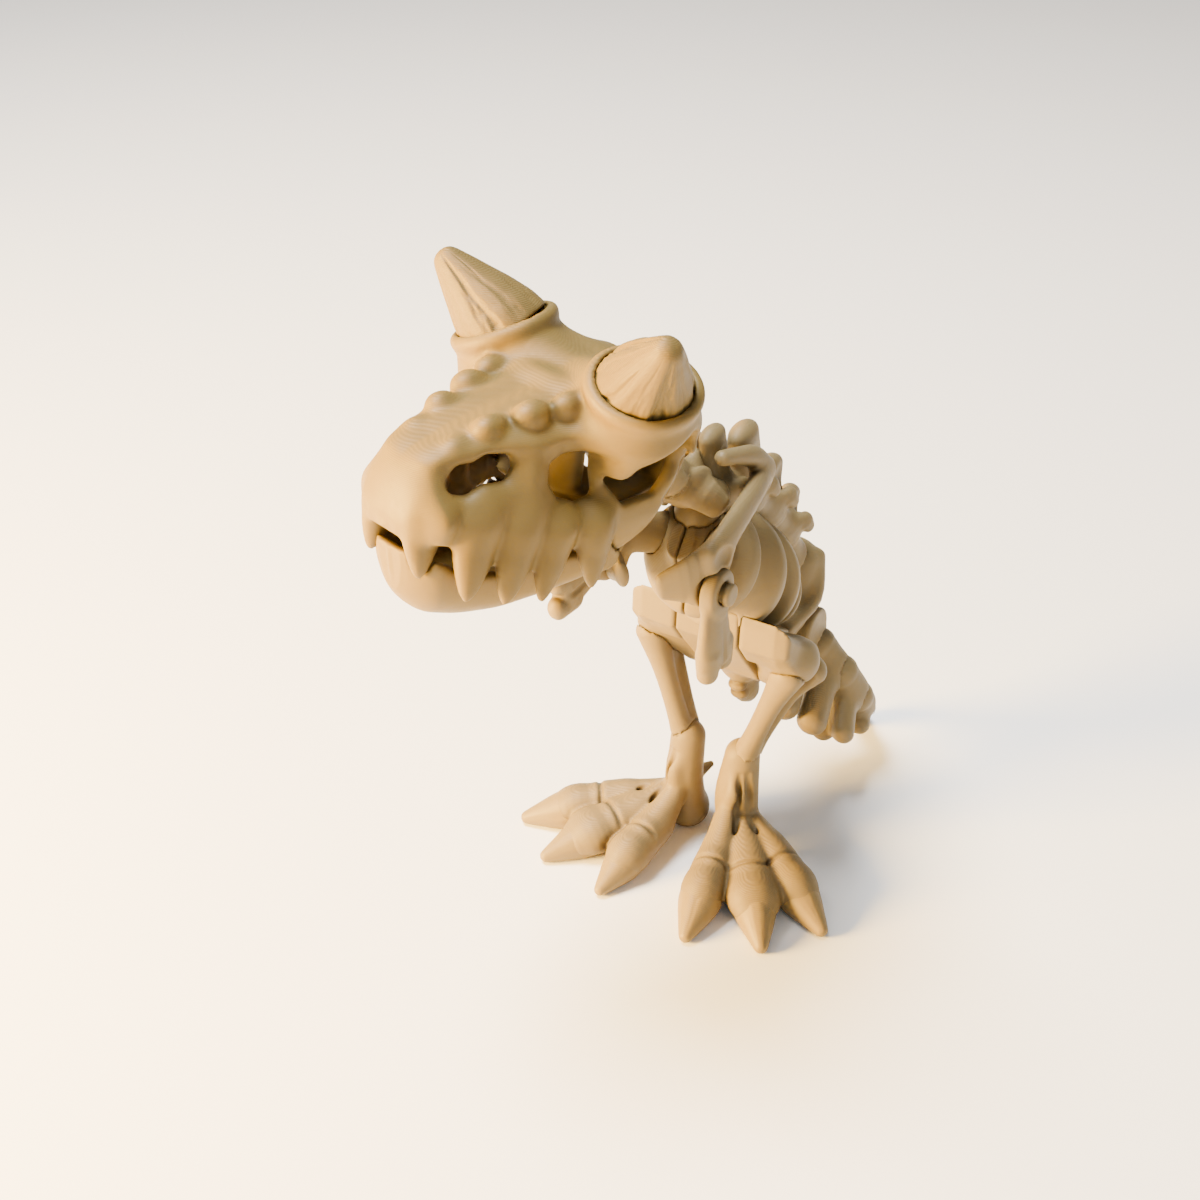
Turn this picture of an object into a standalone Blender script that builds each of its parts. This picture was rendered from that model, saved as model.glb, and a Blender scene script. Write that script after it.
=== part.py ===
"""A small printed dinosaur skeleton that stands on two feet, with a big horned skull.

Lengths are millimetres in a body frame: x to the animal's left, y to its back, z up,
with the floor at z = 0. The origin is moved under the middle of the figure at the end.
"""
import math

import bpy
import bmesh
from mathutils import Euler, Matrix, Vector

MM = 0.001
GAP = 0.35

# Middle of the figure in the body frame
CENTRE = Vector((-1.45, -12.2, 0.0))

# Head: place, turn and shell
HEAD_AT = Vector((-9.1, -40.0, 119.5))
HEAD_TURN = -16.0
HEAD_PITCH = 1.0
SHELL = 2.4
SKULL_SIDES = 22
# along, half width, roof, floor
SKULL_RINGS = [
    (-38.6, 3.2, -9.0, -16.0),
    (-37.6, 5.8, -6.6, -19.0),
    (-35.5, 7.8, -4.4, -22.0),
    (-31.5, 9.6, -2.6, -25.0),
    (-26.0, 11.1, -1.5, -27.0),
    (-19.0, 12.8, -0.8, -29.0),
    (-12.0, 14.7, -0.4, -31.0),
    (-5.0, 16.8, 0.1, -32.0),
    (2.0, 18.2, 0.4, -31.0),
    (8.0, 18.2, 0.2, -29.0),
    (12.0, 16.4, -1.8, -26.0),
]
# lower edge of the upper jaw and back edge of the cheek, seen from the side
SKULL_EDGE = [(-46, -14.6), (-37, -15.0), (-31, -17.2), (-24, -20.2), (-18.5, -22.6), (-13.5, -24.0),
              (-9.0, -22.6), (-6.0, -23.6), (-3.4, -29.4), (1.0, -23.4), (4.6, -17.4), (7.4, -12.6), (9.4, -7.0), (16, -4.0),
              (16, -50), (-46, -50)]
# windows in the side of the skull: middle along and up, half sizes, tilt
SNOUT_WINDOW = (-26.4, -7.0, 5.6, 2.5, 4.0)
EYE_WINDOW = (-12.0, -11.2, 3.9, 3.7, -8.0)
CHEEK_WINDOW = [(-5.6, -11.6), (4.6, -10.0), (3.6, -14.6), (-0.6, -18.0), (-4.8, -16.4)]
# bumps on the brow: out, along, up, radius
BUMPS = [(3.1, -27.6, -3.0, 1.3), (5.3, -21.7, -1.9, 1.8), (8.0, -15.5, -1.3, 2.1), (9.9, -9.6, -1.0, 2.0)]
# upper teeth: root out, root along, root up, tip out, tip along, tip up, radius
TEETH = [
    (5.4, -33.0, -11.8, 6.2, -35.8, -21.4, 3.4),
    (9.2, -27.4, -14.6, 10.7, -32.0, -25.4, 3.5),
    (11.4, -21.2, -17.4, 12.6, -26.4, -27.4, 2.8),
    (13.0, -15.8, -19.4, 14.2, -20.6, -28.6, 2.6),
    (14.7, -9.6, -21.2, 16.0, -11.6, -29.2, 2.5),
]
HORN_AT = Vector((15.4, 0.2, -0.6))
HORN_TIP = Vector((26.4, -4.7, 12.2))
HORN_R = 7.8
# the collar lies flatter than the horn that leans out of it
COLLAR_AT = Vector((16.5, -0.3, 0.9))
COLLAR_WAY = Vector((0.32, -0.10, 0.945)).normalized()
COLLAR_R = 9.7
# lower jaw: along, half width, rim, underside
JAW_RINGS = [
    (-37.0, 3.2, -18.4, -23.8),
    (-36.2, 5.4, -17.4, -27.2),
    (-34.0, 7.4, -18.2, -30.0),
    (-29.0, 8.9, -21.0, -32.8),
    (-22.0, 10.5, -23.6, -34.7),
    (-14.0, 12.0, -25.4, -35.3),
    (-7.0, 12.9, -26.4, -35.0),
    (-2.0, 12.6, -27.0, -33.4),
    (0.0, 10.8, -27.8, -31.6),
]
SOCKET_Y = 2.5
SOCKET_Z = -12.0
SOCKET_R = 5.4
BRAINCASE = [(-8.6, -3.0), (-8.8, -12.0), (-8.0, -21.0)]

# Neck: middle line, top first, with the half widths of each bone
NECK = [
    (Vector((-7.9, -36.4, 106.6)), Vector((-5.4, -28.6, 99.6)), 5.0),
    (Vector((-5.4, -28.8, 99.8)), Vector((-2.8, -20.4, 92.4)), 5.6),
    (Vector((-2.9, -20.8, 92.8)), Vector((0.0, -11.0, 84.8)), 6.2),
]

# Backbone of the chest: middle line along and up, and its fins (along, up at top, length, width)
SPINE = [(-13.0, 82.5), (-6.0, 83.0), (4.0, 78.5), (14.0, 71.0), (22.0, 62.5), (28.0, 52.5)]
SPINE_R = 4.4
FINS = [(-8.0, 97.4, 6.0, 3.2), (3.6, 92.0, 8.4, 4.6), (16.0, 81.4, 6.8, 3.4), (26.6, 70.6, 6.4, 3.2)]
FIN_ROOTS = [(-7.0, 83.0), (5.0, 78.0), (14.0, 71.5), (22.5, 62.0)]

# Chest: start of its axis, its direction, and rings of (along axis, half width, half depth, shift)
CHEST_AT = (-17.0, 77.5)
CHEST_DIR = (0.779, -0.628)
CHEST = [
    (-3.0, 5.0, 6.0, 0.0), (1.0, 8.0, 9.0, 0.0), (8.0, 10.6, 11.0, 0.0), (17.0, 12.2, 11.8, 0.0),
    (27.0, 12.4, 11.2, 0.0), (36.0, 11.4, 10.0, 0.4), (43.0, 9.0, 8.0, 1.0), (46.0, 6.0, 5.0, 1.0)]
# ribs: place at the back and place at the belly, radius
RIBS = [(-1.0, 1.0, 1.5), (5.0, 8.5, 1.7), (13.5, 21.0, 1.8), (22.5, 32.5, 1.8), (32.0, 40.5, 1.8)]

# Shoulder: axis of the arm ring, blade and plate
SHOULDER_Y = -26.6
SHOULDER_Z = 76.6
PEG_R = 1.7
RING_R = 4.2
RING_X0 = 9.6
RING_X1 = 12.6
ARM_SWING_LEFT = 4.0
ARM_SWING_RIGHT = -88.0

# Hips, knees, ankles
HIP = Vector((6.6, 6.5, 42.5))
HIP_R = 5.2
KNEE = Vector((14.9, 0.6, 47.4))
# top plate over the hips and thighs, a straight edge across the body, seen from the side
PLATE_Y = -8.0
PLATE_Z = 60.2
PLATE_HALF = 17.2
ANKLES = {"left": Vector((5.9, -1.4, 21.5)), "right": Vector((-6.6, -1.2, 21.5))}
HEELS = {"left": Vector((4.9, 0.6, 3.4)), "right": Vector((-7.0, 0.4, 3.4))}
INSTEP = {"left": 4.4, "right": 3.9}
TOES = {"left": [(10.9, -33.8), (25.2, -28.6), (33.5, -18.0)],
        "right": [(10.4, -31.2), (25.8, -28.2), (36.4, -19.6)]}
TOE_FAT = [0.9, 1.14, 0.95]

# Tail: middle line and radius
TAIL_AXIS = Vector((1.6, 28.0, 37.0))
TAIL_PIVOT_R = 5.0
TAIL_LOBE = Vector((0.34, -0.60, -0.72))
TAIL = [
    (Vector((1.6, 28.0, 37.0)), Vector((7.0, 30.6, 31.0)), 4.8, 13.5),
    (Vector((6.8, 30.5, 31.3)), Vector((12.0, 32.4, 25.0)), 4.5, 13.5),
    (Vector((11.8, 32.3, 25.3)), Vector((15.0, 36.0, 18.0)), 4.2, 11.0),
    (Vector((14.9, 35.8, 18.4)), Vector((13.6, 43.0, 10.6)), 3.6, 5.0),
    (Vector((13.7, 42.6, 10.9)), Vector((10.0, 51.4, 2.3)), 3.0, 3.8),
]

for old in list(bpy.data.objects):
    bpy.data.objects.remove(old, do_unlink=True)

HEAD = Matrix.Translation(HEAD_AT) @ Euler((0, 0, math.radians(HEAD_TURN))).to_matrix().to_4x4() \
    @ Euler((math.radians(HEAD_PITCH), 0, 0)).to_matrix().to_4x4()
IDENT = Matrix.Identity(4)


def head(x, y, z):
    return HEAD @ Vector((x, y, z))


def solid(verts, faces):
    """A closed piece in body millimetres, kept as a bare mesh object."""
    bm = bmesh.new()
    made = [bm.verts.new(v) for v in verts]
    for face in faces:
        bm.faces.new([made[i] for i in face])
    bmesh.ops.triangulate(bm, faces=bm.faces[:])
    bmesh.ops.recalc_face_normals(bm, faces=bm.faces[:])
    mesh = bpy.data.meshes.new("piece")
    bm.to_mesh(mesh)
    bm.free()
    thing = bpy.data.objects.new("piece", mesh)
    bpy.context.scene.collection.objects.link(thing)
    return thing


def loft(rings):
    """Skin over rings that hold the same number of points, closed by a flat cap at each end."""
    n = len(rings[0])
    verts = [p for ring in rings for p in ring]
    faces = []
    for i in range(len(rings) - 1):
        for j in range(n):
            k = (j + 1) % n
            faces.append((i * n + j, i * n + k, (i + 1) * n + k, (i + 1) * n + j))
    faces.append(tuple(range(n - 1, -1, -1)))
    faces.append(tuple(range((len(rings) - 1) * n, len(rings) * n)))
    return solid(verts, faces)


def limb(points, sizes, sides=10, side=(1, 0, 0), rounded=True):
    """A bone along points, each with a half width across and a half width the other way."""
    pts = [Vector(p) for p in points]
    szs = [s if isinstance(s, tuple) else (s, s) for s in sizes]
    if rounded:
        head_dir = (pts[0] - pts[1]).normalized()
        tail_dir = (pts[-1] - pts[-2]).normalized()
        first = min(szs[0])
        last = min(szs[-1])
        pts = [pts[0] + head_dir * first * 0.55] + pts + [pts[-1] + tail_dir * last * 0.55]
        szs = [(szs[0][0] * 0.6, szs[0][1] * 0.6)] + szs + [(szs[-1][0] * 0.6, szs[-1][1] * 0.6)]
    rings = []
    for i, p in enumerate(pts):
        before = pts[max(i - 1, 0)]
        after = pts[min(i + 1, len(pts) - 1)]
        along = (after - before).normalized()
        across = (Vector(side) - along * along.dot(Vector(side))).normalized()
        other = along.cross(across)
        a, b = szs[i]
        rings.append([p + across * a * math.cos(t) + other * b * math.sin(t)
                      for t in [2 * math.pi * k / sides for k in range(sides)]])
    return loft(rings)


def blob(at, radii, turn=IDENT, rows=5, sides=8):
    """A rounded lump."""
    rings = []
    for i in range(1, rows):
        lat = math.pi * i / rows
        rings.append([turn @ (Vector(at) + Vector((radii[0] * math.sin(lat) * math.cos(t),
                                                  radii[1] * math.sin(lat) * math.sin(t),
                                                  radii[2] * math.cos(lat))))
                      for t in [2 * math.pi * k / sides for k in range(sides)]])
    n = sides
    verts = [p for ring in rings for p in ring]
    top = turn @ (Vector(at) + Vector((0, 0, radii[2])))
    low = turn @ (Vector(at) - Vector((0, 0, radii[2])))
    verts += [top, low]
    faces = []
    for i in range(len(rings) - 1):
        for j in range(n):
            k = (j + 1) % n
            faces.append((i * n + j, i * n + k, (i + 1) * n + k, (i + 1) * n + j))
    for j in range(n):
        k = (j + 1) % n
        faces.append((len(verts) - 2, k, j))
        faces.append((len(verts) - 1, (len(rings) - 1) * n + j, (len(rings) - 1) * n + k))
    return solid(verts, faces)


def spike(root, tip, radius, sides=8, flat=1.0, blunt=0.16, bend=(0, 0, 0)):
    """A tapering tooth, claw or horn with a small blunt end."""
    root = Vector(root)
    tip = Vector(tip)
    shape = [(0.0, 1.0), (0.4, 0.84), (0.8, 0.48), (1.0, blunt)]
    pts = [root.lerp(tip, t) + Vector(bend) * math.sin(math.pi * t) for t, _ in shape]
    return limb(pts, [(radius * s, radius * s * flat) for _, s in shape], sides, rounded=False)


def prism(outline, x0, x1, turn=IDENT):
    """A side-view outline of (along, up) carried from x0 to x1."""
    return loft([[turn @ Vector((x, y, z)) for y, z in outline] for x in (x0, x1)])


def oval(window, n=12):
    y, z, a, b, tilt = window
    c, s = math.cos(math.radians(tilt)), math.sin(math.radians(tilt))
    out = []
    for k in range(n):
        t = 2 * math.pi * k / n
        u, v = a * math.cos(t), b * math.sin(t)
        out.append((y + u * c - v * s, z + u * s + v * c))
    return out


def disc(at, radius, x0, x1, sides=20):
    """A round drum whose axis runs across the body."""
    return loft([[Vector((x, at[0] + radius * math.cos(t), at[1] + radius * math.sin(t)))
                  for t in [2 * math.pi * k / sides for k in range(sides)]] for x in (x0, x1)])


def swollen(thing, by=GAP):
    """A copy pushed out along its normals, for cutting a clearance into a neighbour."""
    bm = bmesh.new()
    bm.from_mesh(thing.data)
    bm.normal_update()
    for v, step in [(v, v.normal * by * min(v.calc_shell_factor(), 1.5)) for v in bm.verts]:
        v.co += step
    mesh = bpy.data.meshes.new("piece")
    bm.to_mesh(mesh)
    bm.free()
    other = bpy.data.objects.new("piece", mesh)
    bpy.context.scene.collection.objects.link(other)
    return other


def boolean(thing, others, operation, solver="EXACT"):
    """One union or difference with a whole collection, applied."""
    group = bpy.data.collections.new("group")
    bpy.context.scene.collection.children.link(group)
    for other in others:
        bpy.context.scene.collection.objects.unlink(other)
        group.objects.link(other)
    cut = thing.modifiers.new("cut", "BOOLEAN")
    cut.operation = operation
    cut.operand_type = "COLLECTION"
    cut.collection = group
    cut.solver = solver
    graph = bpy.context.evaluated_depsgraph_get()
    mesh = bpy.data.meshes.new_from_object(thing.evaluated_get(graph))
    thing.modifiers.clear()
    thing.data = mesh
    for other in list(group.objects):
        bpy.data.objects.remove(other, do_unlink=True)
    bpy.data.collections.remove(group)
    largest(thing)
    return thing


def largest(thing):
    """Only the largest closed surface of a node stays."""
    bm = bmesh.new()
    bm.from_mesh(thing.data)
    bmesh.ops.remove_doubles(bm, verts=bm.verts[:], dist=0.02)
    bmesh.ops.dissolve_degenerate(bm, edges=bm.edges[:], dist=0.01)
    bmesh.ops.triangulate(bm, faces=bm.faces[:])
    seen = set()
    islands = []
    for start in bm.faces:
        if start in seen:
            continue
        stack = [start]
        island = []
        seen.add(start)
        while stack:
            face = stack.pop()
            island.append(face)
            for edge in face.edges:
                for near in edge.link_faces:
                    if near not in seen:
                        seen.add(near)
                        stack.append(near)
        islands.append(island)
    islands.sort(key=lambda fs: -sum(f.calc_area() for f in fs))
    for island in islands[1:]:
        bmesh.ops.delete(bm, geom=island, context="FACES")
    loose = [v for v in bm.verts if not v.link_faces]
    bmesh.ops.delete(bm, geom=loose, context="VERTS")
    bm.to_mesh(thing.data)
    bm.free()


def union(pieces):
    return boolean(pieces[0], pieces[1:], "UNION")


def cut(thing, cutters):
    return boolean(thing, cutters, "DIFFERENCE")


def superellipse(w, top, low, y, turn, n, power=2.5):
    ring = []
    mid = (top + low) / 2
    half = (top - low) / 2
    for k in range(n):
        t = 2 * math.pi * (k + 0.5) / n
        c, s = math.cos(t), math.sin(t)
        x = w * math.copysign(abs(c) ** (2 / power), c)
        z = mid + half * math.copysign(abs(s) ** (2 / power), s)
        ring.append(turn @ Vector((x, y, z)))
    return ring


def both_sides(x0, x1):
    return ((x0, x1), (-x1, -x0))


# Skull shell, its windows, brow bumps, collars, teeth and the neck socket
outer = loft([superellipse(w, t, b, y, HEAD, SKULL_SIDES) for y, w, t, b in SKULL_RINGS])
inner = [(y + SHELL * 0.9 if y < -37 else y, max(w - SHELL, 1.2), t - SHELL, b - 12)
         for y, w, t, b in SKULL_RINGS[1:]]
inner[-1] = (16.0, inner[-1][1], inner[-2][2] - 0.6, inner[-1][3])
hollow = loft([superellipse(w, t, b, y, HEAD, 16) for y, w, t, b in inner])
collars = []
for s in (1, -1):
    at = Vector((COLLAR_AT.x * s, COLLAR_AT.y, COLLAR_AT.z))
    along = Vector((COLLAR_WAY.x * s, COLLAR_WAY.y, COLLAR_WAY.z))
    path = [HEAD @ (at + along * d) for d in (-9.0, -4.5, -0.9, 0.0, 0.9)]
    size = [8.4, COLLAR_R - 0.6, COLLAR_R - 0.3, COLLAR_R, COLLAR_R - 0.5]
    collars.append(limb(path, size, 16, rounded=False))
skull = union([outer] + collars)
cheek = prism(SKULL_EDGE, -40, 40, HEAD)
windows = []
for a, b in both_sides(4.0, 40.0):
    windows.append(prism(oval(SNOUT_WINDOW), a, b, HEAD))
    windows.append(prism(oval(EYE_WINDOW), a, b, HEAD))
    windows.append(prism(CHEEK_WINDOW, a, b, HEAD))
skull = cut(skull, [hollow, cheek] + windows)
extras = []
for s in (1, -1):
    for x, y, z, r in BUMPS:
        extras.append(blob((x * s, y, z), (r, r * 1.15, r * 0.95), HEAD, 4, 6))
    for x0, y0, z0, x1, y1, z1, r in TEETH:
        extras.append(spike(head(x0 * s, y0, z0), head(x1 * s, y1, z1), r, 6, 0.72, 0.14))
pillar = [head(0, SOCKET_Y, z) for z in (-0.6, -6.0, SOCKET_Z)]
extras.append(limb(pillar, [6.5, 4.6, SOCKET_R], 12, rounded=False))
# braincase, a thick wall across the skull in front of the neck
wall = [head(0, SOCKET_Y + dy, z) for dy, z in BRAINCASE]
extras.append(limb(wall, [(7.0, 3.2), (6.6, 2.9), (5.2, 2.4)], 10))
skull = union([skull] + extras)

horns = {}
for name, s in (("left", 1), ("right", -1)):
    at = Vector((HORN_AT.x * s, HORN_AT.y, HORN_AT.z))
    tip = Vector((HORN_TIP.x * s, HORN_TIP.y, HORN_TIP.z))
    axis = tip - at
    path = []
    size = []
    for t, r in ((0.0, 0.98), (0.1, 0.98), (0.34, 0.82), (0.6, 0.58), (0.82, 0.38), (0.95, 0.24), (1.0, 0.1)):
        path.append(HEAD @ (at + axis * t + Vector((0, 0.4, 0)) * math.sin(math.pi * t)))
        size.append(HORN_R * r)
    horns[name] = limb(path, size, 14, rounded=False)
skull = cut(skull, [swollen(horns["left"]), swollen(horns["right"])])

# Lower jaw, a solid bowl that meets the cheeks at the back
jaw = loft([superellipse(w, 2 * t - b, b, y, HEAD, 18, 2.3) for y, w, t, b in JAW_RINGS])
rim = [(y, t) for y, _, t, _ in JAW_RINGS]
top = prism([(-50, rim[0][1])] + rim + [(20, rim[-1][1]), (20, 30), (-50, 30)], -30, 30, HEAD)
jaw = cut(jaw, [top])
stems = [limb([head(12.0 * s, -5.5, -29), head(13.6 * s, -4.8, -24.0), head(14.4 * s, -3.6, -19.5)],
              [(1.7, 3.4), (1.6, 3.0), (1.3, 2.2)], 8, side=(1, 0, 0)) for s in (1, -1)]
jaw = union([jaw] + stems)
jaw = cut(jaw, [swollen(skull)])

# Neck bones with side lobes, each cleared from the one below it
neck = []
for start, end, width in NECK:
    along = (end - start).normalized()
    mid = start.lerp(end, 0.5)
    side = Vector((1, 0, 0)) - along * along.x
    side.normalize()
    back = along.cross(side)
    if back.z < 0:
        back = -back
    pieces = [limb([start, mid, end], [(4.2, 4.2), (3.6, 3.6), (4.4, 4.2)], 8)]
    for s in (1, -1):
        lobe = mid + side * s * width
        pieces.append(limb([mid, mid + side * s * width * 0.6 - back * 0.6, lobe + along * 3.0 - back * 1.8],
                           [(2.2, 3.4), (2.0, 3.2), (1.3, 2.4)], 7, side=tuple(along)))
    pieces.append(limb([mid, mid + back * 5.6 + along * 1.4], [(2.4, 3.2), (1.3, 2.2)], 8, side=tuple(side)))
    neck.append(union(pieces))
socket_at = head(0, SOCKET_Y, SOCKET_Z)
cap = Vector((0, 0, 1))
lid = limb([socket_at + cap * (GAP * -0.9), socket_at + cap * 20], [9, 9], 14, rounded=False)
neck[0] = cut(neck[0], [lid, swollen(neck[1])])

# Backbone with its fins
spine = [limb([(0, y, z) for y, z in SPINE], [(SPINE_R, SPINE_R)] * len(SPINE), 10)]
for (y, z, length, width), (ry, rz) in zip(FINS, FIN_ROOTS):
    root = Vector((0, ry, rz))
    peak = Vector((0, y, z))
    mid = root.lerp(peak, 0.6)
    spine.append(limb([root, mid, peak - (peak - root).normalized() * 1.2],
                      [(width * 0.62, length * 0.56), (width * 0.5, length * 0.52), (width * 0.4, length * 0.34)],
                      8, side=(1, 0, 0)))
spine = union(spine)
neck[2] = cut(neck[2], [swollen(spine)])
neck[1] = cut(neck[1], [swollen(neck[2])])

# Chest halves with raised ribs
ux, uz = CHEST_DIR
nx, nz = -uz, ux


def chest_point(s, w, d, shift, phi, sign):
    x = (GAP / 2 + max(w, 0.0) * math.cos(phi)) * sign
    depth = d * math.sin(phi) + shift
    return Vector((x, CHEST_AT[0] + ux * s + nx * depth, CHEST_AT[1] + uz * s + nz * depth))


def chest_size(s):
    for (s0, w0, d0, h0), (s1, w1, d1, h1) in zip(CHEST, CHEST[1:]):
        if s <= s1:
            t = max(0.0, (s - s0) / (s1 - s0))
            return w0 + (w1 - w0) * t, d0 + (d1 - d0) * t, h0 + (h1 - h0) * t
    return CHEST[-1][1], CHEST[-1][2], CHEST[-1][3]


chest = {}
for name, sign in (("left", 1), ("right", -1)):
    rings = []
    for s, w, d, h in CHEST:
        rings.append([chest_point(s, w, d, h, math.radians(a), sign) for a in (-90, -65, -40, -15, 10, 35, 60, 90)])
    pieces = [loft(rings)]
    for s0, s1, r in RIBS:
        path = []
        for a in (70, 38, 4, -32, -68):
            t = (70 - a) / 138
            s = s0 + (s1 - s0) * t
            w, d, h = chest_size(s)
            path.append(chest_point(s, w + 0.5, d + 0.4, h, math.radians(a), sign))
        pieces.append(limb(path, [(r * 0.8, r * 0.8)] + [(r, r)] * 3 + [(r * 0.8, r * 0.8)], 5))
    chest[name] = union(pieces)
# Shoulder blades with the front plate and the peg of the arm
shoulder = {}
for name, s in (("left", 1), ("right", -1)):
    blade = limb([(4.6 * s, 3.4, 87.0), (7.4 * s, -4.0, 87.4), (9.6 * s, -14.0, 88.0), (10.6 * s, -22.0, 86.6),
                  (10.6 * s, -27.4, 84.0)],
                 [(1.4, 2.2), (1.6, 2.8), (1.6, 2.6), (1.7, 3.0), (1.6, 3.2)], 8, side=(1, 0, 0))
    plate = limb([(10.0 * s, -25.0, 80.0), (7.6 * s, -29.6, 79.4), (3.4 * s, -33.2, 78.6)],
                 [(1.5, 6.0), (1.5, 5.6), (1.3, 3.0)], 10, side=(1, 0, 0))
    root = limb([(9.0 * s, -24.4, 81.0), (5.4 * s, -15.6, 78.0)], [(1.8, 3.4), (2.4, 4.0)], 8)
    lo, hi = sorted((8.2 * s, (RING_X1 + 1.6) * s))
    peg = disc((SHOULDER_Y, SHOULDER_Z), PEG_R, lo, hi, 10)
    lo, hi = sorted(((RING_X1 + GAP) * s, (RING_X1 + 1.6) * s))
    button = disc((SHOULDER_Y, SHOULDER_Z), PEG_R + 0.9, lo, hi, 10)
    lo, hi = sorted((8.0 * s, (RING_X0 - GAP) * s))
    boss = disc((SHOULDER_Y, SHOULDER_Z), 3.2, lo, hi, 12)
    shoulder[name] = [blade, plate, root, peg, button, boss]

# Arms: a ring round the peg, a flat forearm and two finger lobes
arms = {}
for name, s, swing in (("left", 1, ARM_SWING_LEFT), ("right", -1, ARM_SWING_RIGHT)):
    lo, hi = sorted((RING_X0 * s, RING_X1 * s))
    ring = disc((0, 0), RING_R, lo, hi, 16)
    mid = (lo + hi) / 2
    slab = limb([(mid, 0, -2.6), (mid, 0.2, -9.0), (mid, 0.6, -13.4)],
                [(1.5, 2.8), (2.1, 3.7), (2.4, 4.1)], 8, rounded=False)
    fingers = [limb([(mid, y * 0.8, -11.6), (mid, y, -15.2)], [(2.2, 2.1), (1.8, 1.7)], 7)
               for y in (-1.8, 2.6)]
    arm = union([ring, slab] + fingers)
    arm = cut(arm, [disc((0, 0), PEG_R + GAP, lo - 1, hi + 1, 12)])
    turn = Matrix.Translation((0, SHOULDER_Y, SHOULDER_Z)) @ Matrix.Rotation(math.radians(swing), 4, "X")
    arm.data.transform(turn)
    arms[name] = arm
for name, s in (("left", 1), ("right", -1)):
    made = union(shoulder[name])
    lo, hi = sorted(((RING_X0 - GAP) * s, (RING_X1 + GAP) * s))
    sweep = disc((SHOULDER_Y, SHOULDER_Z), RING_R + GAP, lo, hi, 16)
    core = disc((SHOULDER_Y, SHOULDER_Z), PEG_R, lo - 0.5, hi + 0.5, 10)
    sweep = cut(sweep, [core])
    made = cut(made, [sweep])
    shoulder[name] = made

# Pelvis with its hip drum, the plate under the chest and the hollow for the tail
pelvis = [
    limb([(0, 30.0, 51.0), (0, 28.6, 44.0), (0, 20.0, 38.6), (0, 9.0, 39.6)],
         [(6.0, 5.0), (6.6, 6.2), (6.4, 6.6), (5.4, 6.0)], 10),
    disc((HIP.y, HIP.z), HIP_R, -HIP.x, HIP.x, 16),
    prism([(PLATE_Y, PLATE_Z), (PLATE_Y + 5.0, PLATE_Z - 4.6), (16.0, 43.6), (10.0, 36.0), (2.0, 40.0),
           (-5.0, 48.5), (PLATE_Y - 0.4, 53.0)], -HIP.x, HIP.x),
    limb([(0, 14.0, 37.0), (0, 11.4, 31.6), (0, 13.0, 28.0)], [(2.6, 6.4), (2.2, 4.6), (1.8, 2.6)], 8),
]
for y, z in ((6.6, 36.0), (6.8, 33.2), (8.0, 30.6)):
    pelvis.append(blob((0, y, z), (2.0, 1.5, 1.3), IDENT, 4, 6))
pelvis = union(pelvis)
pelvis = cut(pelvis, [disc((TAIL_AXIS.y, TAIL_AXIS.z), TAIL_PIVOT_R + GAP, -14, 14, 20)])

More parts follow.
